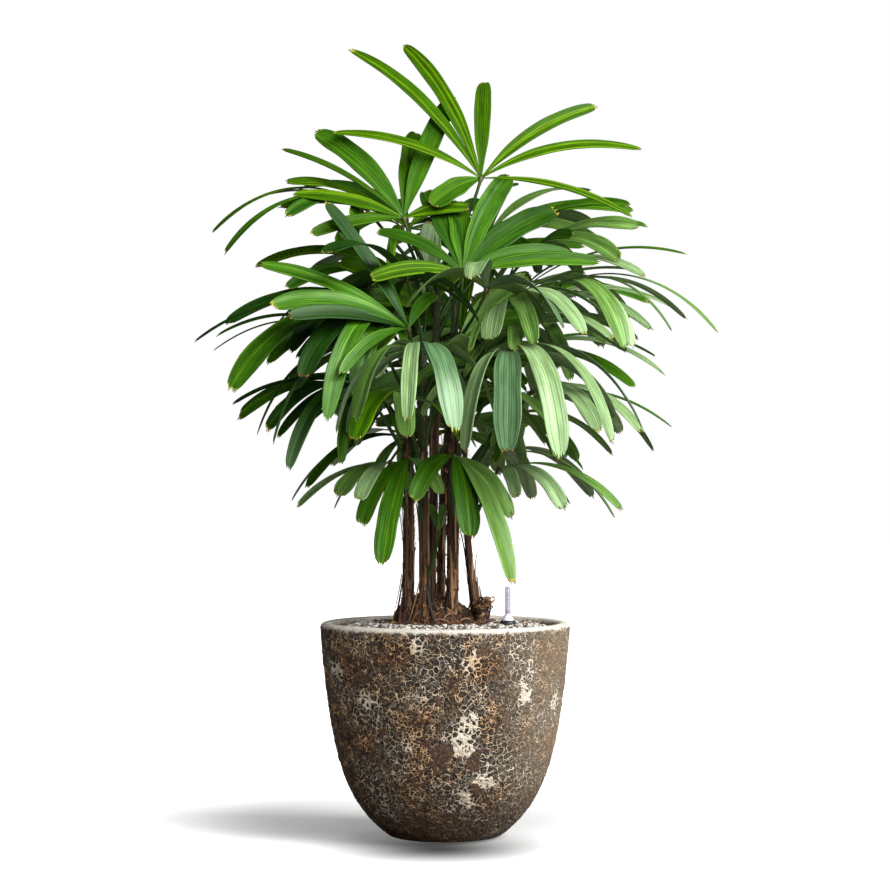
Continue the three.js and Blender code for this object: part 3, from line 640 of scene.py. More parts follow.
granules = {
    "middle": 343,
    "flat": 134,
    "edge": 333,
    "radius": 180.6,
    "depth": 20,
    "count": 5200,
    "size": (1.5, 3.4),
    "clearing": (100, -42, 19),  # place and radius kept free for the water gauge
    "margin": 3,  # between the stones and the pot
    "buried": (-0.5, 0.2),  # of a stone's size
    "uneven": 0.45,  # how far a corner may stray, of a stone's size
    "squash": (0.75, 1.25),
    "under": 1.5,  # how far the bed lies below the stones' top
    "lumpSize": 5,
    "lumpDepth": 1.6,
    "grain": (1.2, 3, 0.5, 0.4),
    "tones": {  # share of the stones
        "paleBakedClay": ("#d3cec4", 0.30),
        "greyPumice": ("#96918a", 0.34),
        "darkLavaGrit": ("#4a4744", 0.24),
        "brownBark": ("#5f4836", 0.12),
    },
}


def granuleTop(radius):
    share = np.clip((radius - granules["flat"]) / (granules["radius"] - granules["flat"]), 0, 1)
    return granules["middle"] + (granules["edge"] - granules["middle"]) * share


def bedPattern(tree, place):
    lumps = cells(tree, place, granules["lumpSize"])["Distance"]
    return {"height": spread(tree, lumps, 0.0, 0.8, 0.0, -granules["lumpDepth"] * millimetre)}


# mineral grit: broken porous grains with a dusty, dull face
def gritMaterial(name, color):
    return grainedMaterial(name, color, 0.92, granules["grain"])


# low icospheres with strayed corners, strewn over the heap
def strewStones():
    startPiece()
    bpy.ops.mesh.primitive_ico_sphere_add(subdivisions=1, radius=1)
    stone = bpy.context.object
    base = np.array([v.co for v in stone.data.vertices])
    corners = np.array([p.vertices[:] for p in stone.data.polygons])
    bpy.data.objects.remove(stone)
    count = granules["count"]
    radius = np.sqrt(rng.random(count)) * (granules["radius"] - granules["margin"])
    angle = rng.random(count) * 2 * math.pi
    size = between(granules["size"], rng.random(count) ** 1.6)
    level = granuleTop(radius) - 0.4 + size * between(granules["buried"], rng.random(count))
    centre = np.stack([radius * np.cos(angle), radius * np.sin(angle), level], 1)
    shape = base[None] * (1 + granules["uneven"] * (rng.random((count, len(base), 1)) - 0.5))
    shape = shape * size[:, None, None] * between(granules["squash"], rng.random((count, 1, 3)))
    turn = rng.random(count) * 2 * math.pi
    cos, sin = np.cos(turn)[:, None], np.sin(turn)[:, None]
    x = shape[:, :, 0] * cos - shape[:, :, 1] * sin
    y = shape[:, :, 0] * sin + shape[:, :, 1] * cos
    points = np.stack([x, y, shape[:, :, 2]], 2) + centre[:, None]
    shares = [share for color, share in granules["tones"].values()]
    kinds = rng.choice(len(shares), count, p=shares)
    x, y, room = granules["clearing"]
    kept = np.hypot(centre[:, 0] - x, centre[:, 1] - y) > room
    points, kinds, count = points[kept], kinds[kept], kept.sum()
    faces = corners[None] + (np.arange(count) * len(base))[:, None, None]
    materials = [gritMaterial(name, color) for name, (color, share) in granules["tones"].items()]
    piece = joinedMesh(
        "stones", points.reshape(-1, 3) * millimetre, faces.reshape(-1, 3),
        np.repeat(kinds, len(corners)), materials, smooth=False)
    return finishPiece(piece, "granuleStones", "granules")


# the bed stands up inside the pot and is drawn in over its low heap
def buildBed():
    rows = [((0, 0, granules["edge"] - granules["depth"]), granules["radius"])]
    rows += [((0, 0, granuleTop(radius) - granules["under"]), radius)
             for radius in np.linspace(granules["radius"], 2, 40)]
    piece = pulledPiece("bed", rows, 96)
    addRelief(piece, bedPattern, 1, "SIMPLE")
    piece.data.materials.append(gritMaterial("fineGrit", "#5a5650"))
    return finishPiece(piece, "granuleBed", "granules", "granules")


buildBed()
strewStones()
print("granules ready")


gauge = {
    "place": (100, -42, 343.3),
    "capRadius": 13.5,
    "capHeight": 6.5,
    "tubeRadius": 4.8,
    "tubeHeight": 54,
    "tubeFlare": 2,
    "flareHeight": 10,
    "gap": 0.3,  # between the cap and the tube
    "wall": 0.9,
    "floatRadius": 3.2,
    "floatHeight": 4,
    "floatLevel": 12,  # above the cap
    # name, colour, roughness and alpha of the tube and of the cone that holds it
    "tubeFinishes": (("milkyAcrylic", "#a9a2b8", 0.12, 0.45), ("mouldedPalePolypropylene", "#d3cbe0", 0.42, 1.0)),
}


# rows give radius and height, measured up from the granules
def turnedPiece(name, rows, around):
    x, y, z = gauge["place"]
    piece = pulledPiece(name, [((x, y, z + height), radius) for radius, height in rows], around)
    bpy.ops.object.shade_smooth_by_angle(angle=math.radians(35))
    return piece


# moulded ABS: even and slightly glossy, with a faint spark texture from the mould
def buildGaugeCap():
    radius, height = gauge["capRadius"], gauge["capHeight"]
    piece = turnedPiece("cap", [
        (radius * 0.94, 0), (radius, 0.8), (radius, height * 0.5), (radius * 0.985, height * 0.58),
        (radius * 0.83, height * 0.95), (radius * 0.8, height), (radius * 0.52, height),
        (radius * 0.5, height - 0.8), (4, height - 0.8),
    ], 48)
    piece.data.materials.append(grainedMaterial("mouldedBlackAbs", "#1d1c20", 0.38, (0.8, 2, 0.15, 0.1)))
    return finishPiece(piece, "gaugeCap", "gauge_cap", "gauge_cap")


# the tube is drawn acrylic, a little milky; the cone that holds it is moulded pale and opaque
def buildGaugeTube():
    radius, wall = gauge["tubeRadius"], gauge["wall"]
    low = gauge["capHeight"] + gauge["gap"]
    neck = low + gauge["flareHeight"]
    top = low + gauge["tubeHeight"]
    piece = turnedPiece("tube", [
        (radius * gauge["tubeFlare"], low), (radius * gauge["tubeFlare"] * 0.97, low + 1),
        (radius * 1.6, low + 3.4), (radius * 1.25, low + 6.8), (radius, neck),
        (radius, top - 3), (radius - 0.6, top - 1), (radius - 1.6, top), (radius - 2.6, top),
        (radius - 2.6, top - wall), (radius - wall, top - 3),
        (radius - wall, neck), (radius - wall, low + 2), (0.5, low + 2),
    ], 32)
    for name, color, roughness, alpha in gauge["tubeFinishes"]:
        piece.data.materials.append(grainedMaterial(
            name, color, roughness, (6, 2, 0.04, 0.1), IOR=1.49, Alpha=alpha))
    for face in piece.data.polygons:
        level = (piece.matrix_world @ face.center).z / millimetre - gauge["place"][2]
        face.material_index = int(level < neck)
    return finishPiece(piece, "gaugeTube", "gauge", "gauge_tube")


# dyed polyethylene float, waxy and soft-edged
def buildGaugeFloat():
    low = gauge["capHeight"] + gauge["floatLevel"]
    radius, height = gauge["floatRadius"], gauge["floatHeight"]
    piece = turnedPiece("float", [
        (radius * 0.6, low), (radius, low + 0.6), (radius, low + height - 0.8), (radius * 0.5, low + height),
    ], 16)
    material, tree, shader = newMaterial("dyedPolyethylene", "#b3261c", 0.4)
    soft = noise(tree, objectPlace(tree), 1.5)["Fac"]
    tree.links.new(spread(tree, soft, 0.3, 0.7, 0.35, 0.5), shader.inputs["Roughness"])
    piece.data.materials.append(material)
    return finishPiece(piece, "gaugeFloat", "gauge")


buildGaugeCap()
buildGaugeTube()
buildGaugeFloat()
print("gauge ready")


canes = [
    {"foot": (-60, -20), "tip": (-62, -14, 660), "bow": (3, 0), "radius": 9},
    {"foot": (-32, -42), "tip": (-34, -34, 800), "bow": (-1, -2), "radius": 8},
    {"foot": (-23, 14), "tip": (-12, 18, 900), "bow": (0, 2), "radius": 7.5},
    {"foot": (12, -30), "tip": (16, -24, 860), "bow": (-1, 0), "radius": 9},
    {"foot": (-7, 34), "tip": (16, 46, 800), "bow": (-6, 0), "radius": 5.5},
    {"foot": (50, -4), "tip": (32, 4, 680), "bow": (-6, 2), "radius": 5.5},
    {"foot": (-27, 52), "tip": (-42, 68, 780), "bow": (-2, 3), "radius": 7.5},
    {"foot": (13, 68), "tip": (14, 92, 720), "bow": (1, 4), "radius": 7},
]
stump = {"foot": (58, -27), "tip": (65, -28, 386), "bow": (0, 0), "radius": 9}
caneCraft = {
    "gap": 0.3,  # above the granules
    "flare": 0.35,
    "flareHeight": 26,
    "taper": 0.35,
    "around": 20,
    "step": 8,
    "fewestSteps": 10,
    "fibreWidth": 2.2,
    "fibreDepth": 2.5,
    "streakWidth": 6,
    "scarSpacing": 27,
    "scarWave": 9,
    "scarHeight": 5,
    "greenFrom": (0.6, 0.76),  # metres above the floor, where the sheaths are still fresh
    "fresh": "#28381a",
    "streak": "#9a7049",
    "strands": [(0.34, "#140b07"), (0.46, "#2e1c13"), (0.55, "#4f3423"), (0.64, "#80593c"), (0.74, "#bd9468")],
}
ground = granules["middle"]
upwards = np.array([0, 0, 1.0])


def caneCentre(cane, share):
    swing = np.sin(math.pi * share)
    return np.array([
        cane["foot"][0] + (cane["tip"][0] - cane["foot"][0]) * share + cane["bow"][0] * swing,
        cane["foot"][1] + (cane["tip"][1] - cane["foot"][1]) * share + cane["bow"][1] * swing,
        ground + caneCraft["gap"] + (cane["tip"][2] - ground - caneCraft["gap"]) * share,
    ])


def caneRadius(cane, share):
    height = (cane["tip"][2] - ground) * share
    flare = 1 + caneCraft["flare"] * math.exp(-height / caneCraft["flareHeight"])
    return cane["radius"] * (1 - caneCraft["taper"] * share) * flare


# long fibres up the cane, tufted at the scars of old leaves
def barkPattern(tree, place):
    long = vectorMaths(tree, "MULTIPLY", place, (1, 1, 0.09))
    fine = noise(tree, long, caneCraft["fibreWidth"], 3)["Fac"]
    broad = noise(tree, long, caneCraft["streakWidth"])["Fac"]
    lift = maths(tree, "MULTIPLY_ADD", broad, caneCraft["scarWave"] * millimetre, axisOf(tree, place, "Z"))
    scar = maths(tree, "PINGPONG", lift, caneCraft["scarSpacing"] / 2 * millimetre)
    ridge = spread(tree, scar, 0.0, caneCraft["scarHeight"] * millimetre, 0.5, 0.0)
    height = maths(tree, "ADD", maths(tree, "SUBTRACT", fine, 0.5), ridge)
    height = maths(tree, "ADD", height, maths(tree, "SUBTRACT", broad, 0.5))
    return {"height": maths(tree, "MULTIPLY", height, caneCraft["fibreDepth"] * millimetre),
            "fine": fine, "broad": broad}


# dried sheath fibre round a living cane: dark, matted, with straw-coloured strands
def barkMaterial():
    material, tree, shader = newMaterial("mattedSheathFibre", "#2e1f17", 0.85)
    place = objectPlace(tree)
    bark = barkPattern(tree, place)
    color = colorRamp(tree, bark["fine"], caneCraft["strands"])
    streak = spread(tree, bark["broad"], 0.57, 0.63, 0.0, 0.6)
    color = mix(tree, streak, color, toLinear(caneCraft["streak"]))
    fresh = spread(tree, axisOf(tree, place, "Z"), *caneCraft["greenFrom"], 0.0, 0.85)
    color = mix(tree, fresh, color, toLinear(caneCraft["fresh"]))
    tree.links.new(color, shader.inputs["Base Color"])
    addBump(tree, shader, bark["height"], 0.8, 1.0)
    return material


def buildCane(name, node, cane, finish):
    steps = max(caneCraft["fewestSteps"], round((cane["tip"][2] - ground) / caneCraft["step"]))
    rows = [(caneCentre(cane, i / steps), caneRadius(cane, i / steps)) for i in range(steps + 1)]
    piece = pulledPiece(name, rows, caneCraft["around"])
    settle(piece)
    addRelief(piece, barkPattern, 1, "SIMPLE")
    smoothAndPaint(piece, finish)
    return finishPiece(piece, name, "cane", node)


barkFinish = barkMaterial()
for number, cane in enumerate(canes, 1):
    buildCane("cane%d" % number, "cane_%d" % number, cane, barkFinish)
buildCane("caneStump", "cane_stump", stump, barkFinish)
print("canes ready")


mound = {
    "centre": (-4, 2),
    "half": (76, 66),
    "height": 44,
    "lean": -30,
    "dome": 0.8,
    "slope": 2.4,
    "smallest": 0.04,  # the topmost ring, as a share of the foot
    "around": 72,
    "rings": 26,
    "closing": 8,
    "tangleSize": 9,
    "tangleHeight": 6,
    "clodSize": 16,
    "clodHeight": (3.0, -4.0),  # in its middle and at its edge
    "peat": [(0.3, "#170d09"), (0.46, "#37200f"), (0.58, "#5c3820"), (0.70, "#8c5f3a")],
}


def moundHeight(share):
    return ground + caneCraft["gap"] + mound["height"] * math.sin(share * math.pi / 2) ** mound["slope"]


def moundReach(share):
    return math.cos(share * math.pi / 2) ** mound["dome"]


# the mound's height at a place, found by closing in on the ring that runs through it
def moundTop(x, y):
    share = 0.5
    for _ in range(mound["closing"]):
        across = (x - mound["centre"][0] - mound["lean"] * share) / mound["half"][0]
        along = (y - mound["centre"][1]) / mound["half"][1]
        far = min(1, max(mound["smallest"] / 2, math.hypot(across, along)))
        share = (share + math.acos(far ** (1 / mound["dome"])) * 2 / math.pi) / 2
    return moundHeight(share)


def moundPattern(tree, place):
    tangle = noise(tree, place, mound["tangleSize"], 4, Distortion=1.5)["Fac"]
    clods = cells(tree, place, mound["clodSize"])["Distance"]
    lumps = spread(tree, clods, 0.0, 0.9, *[part * millimetre for part in mound["clodHeight"]])
    half = mound["tangleHeight"] / 2 * millimetre
    strands = maths(tree, "MULTIPLY_ADD", tangle, 2 * half, -half)
    return {"height": maths(tree, "ADD", lumps, strands), "tangle": tangle}


# a fibrous root mat: crumbling dark peat bound by brown roots
def rootMaterial():
    material, tree, shader = newMaterial("peatyRootMat", "#3b2a1f", 0.95)
    mat = moundPattern(tree, objectPlace(tree))
    tree.links.new(colorRamp(tree, mat["tangle"], mound["peat"]), shader.inputs["Base Color"])
    addBump(tree, shader, mat["height"], 0.6, 1.0)
    return material


def buildMound():
    x, y = mound["centre"]
    shares = [i / mound["rings"] for i in range(mound["rings"] + 1)]
    rows = [((x + mound["lean"] * share, y, moundHeight(share)), max(mound["smallest"], moundReach(share)))
            for share in shares]
    piece = pulledPiece("mound", rows, mound["around"], stretch=mound["half"])
    addRelief(piece, moundPattern, 1)
    smoothAndPaint(piece, rootMaterial())
    return finishPiece(piece, "rootMound", "root", "root_mound")


buildMound()


fibres = {
    "steps": 9,
    "sheaths": 26,  # dry leaf-sheath strips on each cane
    "sheathWidth": (2.5, 6.5),
    "sheathLength": (50, 150),
    "sheathsUpTo": 0.5,  # where the highest one starts, as a share of the cane
    "peel": 12,  # how far a sheath's end lifts off
    "hairs": 170,  # loose hairs on each cane
    "hairLength": (7, 26),
    "hairOut": (0.15, 0.8),
    "hairsUpTo": 0.9,
    "props": 8,  # old sheath ends that lean against a cane's foot
    "propHeight": (18, 80),
    "propFoot": (9, 22),
    "roots": 420,
    "rootLength": (14, 46),
    "rootWidth": (1.0, 3.2),
    "rootArch": 4,
    "scraps": 44,  # torn sheath round the stump
    "scrapWidth": (2, 6),
    "scrapLength": 16,
    "scrapsUpTo": 44,
    "stumpTop": 49,
    "tones": {
        "strawSheath": "#a37e56",
        "brownSheath": "#5a3c27",
        "darkHair": "#22160f",
    },
    # shares of those tones
    "sheathTones": (0.26, 0.5, 0.24),
    "propTones": (0.22, 0.5, 0.28),
    "rootTones": (0.14, 0.48, 0.38),
    "scrapTones": (0.3, 0.4, 0.3),
    "grain": (0.9, 2, 0.6, 0.4),
}
alongStrip = np.linspace(0, 1, fibres["steps"])


def anyTurn():
    return rng.random() * 2 * math.pi


def anyTone(kind):
    return int(rng.choice(3, p=fibres[kind]))


# away from a cane's middle and sideways round it, at each step of a strip
def outAndAside(angle):
    angle = angle + 0 * alongStrip
    out = np.stack([np.cos(angle), np.sin(angle), 0 * alongStrip], 1)
    return out, np.stack([-np.sin(angle), np.cos(angle), 0 * alongStrip], 1)


# a thin strip along a path: each step has a left and right edge, and the strip has a top and bottom
def stripPoints(path, sides, widths, faceDirections, thickness):
    left = path + sides * widths[:, None] / 2
    right = path - sides * widths[:, None] / 2
    under = faceDirections * thickness
    return np.stack([left, right, right - under, left - under], 1).reshape(-1, 3)


# clings to its cane and lifts off at the upper end
def sheathStrip(cane):
    start = rng.random() * fibres["sheathsUpTo"]
    run = between(fibres["sheathLength"], rng.random()) / (cane["tip"][2] - ground)
    out, aside = outAndAside(anyTurn() + (rng.random() - 0.5) * 0.6 * alongStrip)
    peel = 1.0 + between((0, fibres["peel"]), rng.random() ** 2) * alongStrip ** 4
    share = np.clip(start + run * alongStrip, 0, 1)
    centre = np.array([caneCentre(cane, s) for s in share])
    radius = np.array([caneRadius(cane, s) for s in share]) + peel
    width = between(fibres["sheathWidth"], rng.random()) * (1 - 0.75 * alongStrip ** 3)
    width = width * (0.5 + 0.5 * np.minimum(1, alongStrip * 5))
    return stripPoints(centre + out * radius[:, None], aside, width, out, 0.7), anyTone("sheathTones")


# stands out of its cane and bends over
def hairStrip(cane):
    start = rng.random() * fibres["hairsUpTo"]
    length = between(fibres["hairLength"], rng.random() ** 2)
    out, aside = outAndAside(anyTurn())
    swing = rng.random() - 0.5
    away = length * alongStrip * between(fibres["hairOut"], rng.random())
    rise = length * (alongStrip * 0.8 - alongStrip ** 2 * rng.random())
    path = caneCentre(cane, start) + out * (caneRadius(cane, start) + away)[:, None]
    path = path + aside * (swing * length * alongStrip ** 2)[:, None]
    path[:, 2] += rise
    return stripPoints(path, aside, 1 - 0.7 * alongStrip, out, 0.4), 2 if rng.random() < 0.7 else 1


# leans against the foot of its cane
def propStrip(cane):
    out, aside = outAndAside(anyTurn() + (rng.random() - 0.5) * 1.2 * alongStrip)
    rise = between(fibres["propHeight"], rng.random()) * alongStrip
    away = between(fibres["propFoot"], rng.random()) * (1 - alongStrip) ** 1.3
    path = caneCentre(cane, 0) + out * (caneRadius(cane, 0.1) + 1 + away)[:, None]
    path[:, 2] = ground + 1 + rise
    width = between(fibres["sheathWidth"], rng.random()) * (1 - 0.6 * alongStrip ** 2)
    return stripPoints(path, aside, width, out, 1.0), anyTone("propTones")


# crawls over the mound
def rootStrip():
    angle = anyTurn()
    share = 0.1 + 0.85 * rng.random()
    length = between(fibres["rootLength"], rng.random())
    heading = anyTurn() + (rng.random() - 0.5) * 1.3 * alongStrip
    reach = moundReach(share)
    forward, aside = outAndAside(heading)
    start = np.array([
        mound["centre"][0] + mound["lean"] * share + mound["half"][0] * reach * math.cos(angle),
        mound["centre"][1] + mound["half"][1] * reach * math.sin(angle),
    ])
    flat = start + np.cumsum(forward[:, :2] * length / len(alongStrip), 0)
    lift = np.array([moundTop(*place) for place in flat])
    arch = np.sin(math.pi * alongStrip) * rng.random() * fibres["rootArch"]
    path = np.concatenate([flat, (lift + 1.0 + arch)[:, None]], 1)
    width = between(fibres["rootWidth"], rng.random() ** 2) * (1 - 0.6 * alongStrip)
    return stripPoints(path, aside, width, upwards, 1.1), anyTone("rootTones")


# wraps round the stump
def scrapStrip():
    angle = anyTurn()
    height = fibres["scrapsUpTo"] * rng.random()
    share = np.clip((height + fibres["scrapLength"] * alongStrip * rng.random()) / fibres["stumpTop"], 0, 1)
    centre = np.array([caneCentre(stump, s) for s in share])
    out, aside = outAndAside(angle + (rng.random() + 0.5) * alongStrip)
    radius = stump["radius"] + 1.5 + 5 * np.sin(math.pi * alongStrip) * rng.random()
    width = between(fibres["scrapWidth"], rng.random()) * (1 - 0.5 * alongStrip)
    return stripPoints(centre + out * radius[:, None], upwards, width, out, 1.0), anyTone("scrapTones")


# the four sides of a strip or stem, row by row
def tubeFaces(rows, around):
    return [(i * around + j, i * around + (j + 1) % around, (i + 1) * around + (j + 1) % around,
             (i + 1) * around + j) for i in range(rows - 1) for j in range(around)]


# dry palm fibre: split strands with a dull, slightly ribbed face
fibreFinishes = [
    grainedMaterial(name, color, 0.8, fibres["grain"], stretch=(1, 1, 0.08))
    for name, color in fibres["tones"].items()]


def buildFibres(name, slot, strips):
    points, tones = zip(*strips)
    last = (len(alongStrip) - 1) * 4
    ends = [(3, 2, 1, 0), (last, last + 1, last + 2, last + 3)]
    one = np.array(tubeFaces(len(alongStrip), 4) + ends)
    faces = one[None] + (np.arange(len(points)) * len(points[0]))[:, None, None]
    piece = joinedMesh(
        name, np.concatenate(points) * millimetre, faces.reshape(-1, 4),
        np.repeat(tones, len(one)), fibreFinishes, smooth=False)
    return finishPiece(piece, name, slot)


buildFibres("caneFibres", "cane", [
    strip(cane) for cane in canes
    for strip, count in ((sheathStrip, "sheaths"), (hairStrip, "hairs"), (propStrip, "props"))
    for _ in range(fibres[count])])
buildFibres("rootFibres", "root", [
    strip() for strip, count in ((rootStrip, "roots"), (scrapStrip, "scraps")) for _ in range(fibres[count])])
print("fibres ready")


# Yaw turns a frond's middle leaflet: 0 is right, 90 back, 180 left and -90 front. A fan gives each
# leaflet's turn, length and, where they differ from the frond's, its droop and its width.
usual = {"spread": 214, "leaflets": 8, "reach": 270, "droop": 105, "cup": 12, "twist": 0, "width": 42}
fronds = [
    {"at": (58, 0, 1058), "yaw": 90, "rise": 52, "droop": 45, "width": 27, "fan": [
        (-98, 265), (-58, 280, 56), (-38, 262), (-1, 250), (16, 342, 34), (27, 380, 34), (55, 268),
        (110, 100, 50, 40)]},
    {"at": (-66, -20, 992), "yaw": 90, "rise": 52, "droop": 36, "width": 38, "fan": [
        (-70, 110), (-14, 262, 20, 36), (-3, 232, 48, 32), (28, 240), (45, 250, 34, 10), (66, 190), (96, 160)]},
    {"at": (28, -90, 900), "yaw": 90, "rise": 55, "droop": 50, "width": 38, "fan": [
        (-75, 222, 30), (-57, 192, 60), (-36, 215, 38, 44), (-14, 230, 34), (2, 175), (12, 212, 24),
        (42, 175, 45, 24), (80, 155)]},
    {"at": (-130, 60, 1016), "yaw": 180, "rise": 22, "twist": -25, "width": 26, "fan": [
        (-75, 190), (-26, 215, 50), (-8, 290, 135), (10, 275, 155), (38, 180, 75), (72, 150)]},
    {"at": (-43, -150, 773), "yaw": -85, "rise": 30, "droop": 150, "width": 40, "fan": [
        (-95, 190, 220), (-62, 215, 250), (-32, 230, 300), (-8, 225, 300, 26), (12, 252, 290, 42),
        (48, 200, 280), (86, 180, 250)]},
    {"at": (97, -150, 766), "yaw": -65, "rise": 28, "droop": 140, "width": 40, "fan": [
        (-88, 190, 200), (-52, 258, 300, 38), (-22, 262, 330, 44), (-2, 305, 320, 38), (16, 305, 250, 28),
        (34, 285, 190, 38), (66, 220, 160)]},
    {"at": (15, -90, 612), "yaw": -52, "rise": -28, "droop": 105, "width": 40, "fan": [
        (-75, 150), (-28, 190, 120, 42), (-10, 284), (26, 150)]},
    {"at": (-57, -110, 811), "yaw": 120, "rise": 50, "droop": 60, "width": 36, "fan": [
        (-30, 120, 60, 22), (6, 205, 20, 24), (17, 256, 14, 26), (46, 262, 36, 32), (60, 245, 66, 36),
        (76, 225, 40), (104, 190)]},
    {"at": (-82, -60, 825), "yaw": -160, "rise": 22, "twist": -40, "droop": 120, "width": 40, "fan": [
        (-60, 250, 90), (-22, 345, 98, 24), (4, 335, 165, 46), (22, 250, 190), (38, 305, 235, 32),
        (56, 240, 260, 36), (76, 200, 220)]},
    {"at": (-95, -110, 778), "yaw": -115, "rise": 20, "droop": 130, "width": 36, "fan": [
        (-80, 230, 150), (-52, 275, 210), (-30, 280, 250), (-8, 222, 300, 38), (30, 215, 300),
        (66, 190, 250)]},
    {"at": (-110, 90, 850), "yaw": 155, "rise": 25, "twist": -30, "reach": 280, "droop": 115, "width": 36},
    {"at": (-60, -60, 890), "yaw": -140, "rise": 35, "reach": 240, "droop": 120, "width": 38},
    {"at": (92, -90, 849), "yaw": -15, "rise": 30, "droop": 120, "width": 34, "fan": [
        (-108, 150, 130), (-78, 140, 150, 42), (-50, 200, 170), (-24, 215, 190), (-2, 190, 150),
        (22, 240, 60), (62, 200, 80)]},
    {"at": (183, -20, 885), "yaw": -10, "rise": 15, "droop": 120, "width": 26, "fan": [
        (-84, 190), (-48, 232, 190, 42), (-32, 215, 200), (-14, 235, 160), (4, 290, 130), (34, 260, 95),
        (70, 220, 90)]},
    {"at": (65, -130, 872), "yaw": -92, "rise": 35, "leaflets": 7, "reach": 200, "droop": 155, "width": 38},
    {"at": (113, -60, 811), "yaw": -18, "rise": 22, "reach": 225, "droop": 115, "width": 36},
    {"at": (120, 90, 850), "yaw": 30, "rise": 25, "reach": 270, "droop": 110, "width": 36},
    {"at": (140, 60, 945), "yaw": 5, "rise": 30, "twist": 30, "reach": 215, "droop": 85, "width": 30},
    {"at": (-60, 110, 985), "yaw": 120, "rise": 40, "reach": 250, "droop": 80, "width": 34},
    {"at": (75, 110, 980), "yaw": 60, "rise": 40, "reach": 250, "droop": 80, "width": 34},
    {"at": (-128, -30, 717), "yaw": -172, "rise": 15, "twist": -40, "droop": 90, "width": 28, "fan": [
        (-50, 230), (-16, 230, 80), (2, 225, 92), (28, 222, 130), (46, 270, 170), (74, 200, 200),
        (104, 170, 130)]},
    {"at": (40, -140, 706), "yaw": -80, "rise": 15, "leaflets": 7, "reach": 200, "droop": 140, "width": 38},
    {"at": (140, -20, 715), "yaw": -12, "rise": 14, "reach": 240, "droop": 125, "width": 36},
    {"at": (-70, -100, 700), "yaw": -125, "rise": 12, "leaflets": 7, "reach": 210, "droop": 130, "width": 36},
    {"at": (90, -90, 670), "yaw": -40, "rise": 15, "leaflets": 7, "reach": 210, "droop": 125, "width": 34},
    {"at": (-88, -50, 602), "yaw": -150, "rise": -10, "twist": -30, "droop": 95, "width": 32, "fan": [
        (-70, 150), (-30, 172), (4, 120), (40, 150), (84, 120)]},
    {"at": (-56, -95, 608), "yaw": -112, "rise": -32, "droop": 90, "width": 30, "fan": [
        (-72, 120), (-40, 150, 110, 32), (-10, 130, 130), (6, 232, 100, 34), (60, 110)]},
    {"at": (87, -20, 592), "yaw": -12, "rise": 6, "twist": 40, "droop": 120, "width": 28, "fan": [
        (-68, 130), (-30, 170, 150), (-2, 228, 110), (44, 170)]},
    {"at": (-10, -56, 490), "yaw": 90, "rise": 55, "droop": 10, "fan": [(-22, 66, 10, 13), (24, 68, 10, 13)]},
    {"at": (22, -48, 796), "yaw": 90, "rise": 58, "droop": 30, "width": 42, "fan": [
        (-62, 140, 70), (-34, 165), (-8, 160), (20, 165), (44, 168, 20, 50), (74, 140, 60)]},
    {"at": (46, -86, 752), "yaw": -60, "rise": 48, "leaflets": 7, "reach": 150, "droop": 140, "width": 34},
]
rear = {
    "count": 15, "height": (600, 1000), "golden": 137.5, "sector": (-8, 188), "deep": 62,
    "out": (73.5, 63), "reach": (235, 50), "rise": (10, 40), "droop": (125, 80), "leaflets": 7, "width": 34,
}
for i in range(rear["count"]):  # the back of the crown goes round as it climbs
    climb = (i + 0.5) / rear["count"]
    swell = math.sin(math.pi * climb)
    start, end = rear["sector"]
    yaw = start + (i * rear["golden"]) % (end - start)
    out = rear["out"][0] + rear["out"][1] * swell
    fronds.append({
        "at": (out * math.cos(math.radians(yaw)), rear["deep"] + out * math.sin(math.radians(yaw)),
               between(rear["height"], climb)),
        "yaw": yaw, "rise": between(rear["rise"], climb), "reach": rear["reach"][0] + rear["reach"][1] * swell,
        "droop": between(rear["droop"], climb), "leaflets": rear["leaflets"], "width": rear["width"],
    })

unlike = {"turn": 9, "cup": 10, "twist": 40, "length": 0.16, "width": 0.15, "droop": 0.5}
outer = {"turn": 110, "shorter": 0.22, "narrower": 0.52, "power": 1.7}
stalk = {
    "base": 3.4, "neck": 2.4, "drop": 60, "slant": 0.8, "tipRoom": 4, "lowest": 60, "rising": 0.9,
    "leaving": 0.45, "forward": 0.4, "lift": 0.3,
}
blade = {
    "steps": 20, "leastDroop": 10, "bending": 1.25, "foot": 0.1, "opens": 0.5, "opening": 1.25, "tapers": 0.75,
    "tip": 0.4,
}
# what a leaflet or a stem may change to stay clear of the others, in the order it is tried
leafTries = [
    (0, 0, 1), (5, 0, 1), (-5, 0, 1), (0, 14, 1), (0, -14, 1), (9, 8, 1), (-9, 8, 1), (9, -16, 0.95),
    (-9, -16, 0.95), (4, 30, 0.9), (-4, -30, 0.9), (14, 20, 0.9), (-14, 20, 0.9), (14, -30, 0.85),
    (-14, -30, 0.85), (0, 0, 0.7), (8, 30, 0.7), (-8, 30, 0.7)]
stalkTries = [
    (0, 0), (20, 0), (0, 18), (0, -18), (40, 10), (40, -10), (60, 25), (60, -25), (90, 0), (120, 20),
    (120, -20)]
# how a stem or leaflet is looked for in its solid
found = {"within": 0.6, "rings": 5, "sides": 3}


def unit(vector):
    return vector / np.linalg.norm(vector)


def turned(vector, axis, angle):
    return (vector * math.cos(angle) + np.cross(axis, vector) * math.sin(angle)
            + axis * np.dot(axis, vector) * (1 - math.cos(angle)))


# a share from 0 to 1 that is always the same for the same keys
def draw(*keys):
    total = sum(
        math.sin((key + 1) * (12.9898 + i * 65.719) + i * 4.1414) * 43758.5453 for i, key in enumerate(keys))
    return total - math.floor(total)


def bladeFrame(frond):
    yaw, rise = math.radians(frond["yaw"]), math.radians(frond["rise"])
    middle = np.array([math.cos(yaw) * math.cos(rise), math.sin(yaw) * math.cos(rise), math.sin(rise)])
    left = np.array([-math.sin(yaw), math.cos(yaw), 0])
    return middle, left, np.cross(middle, left)


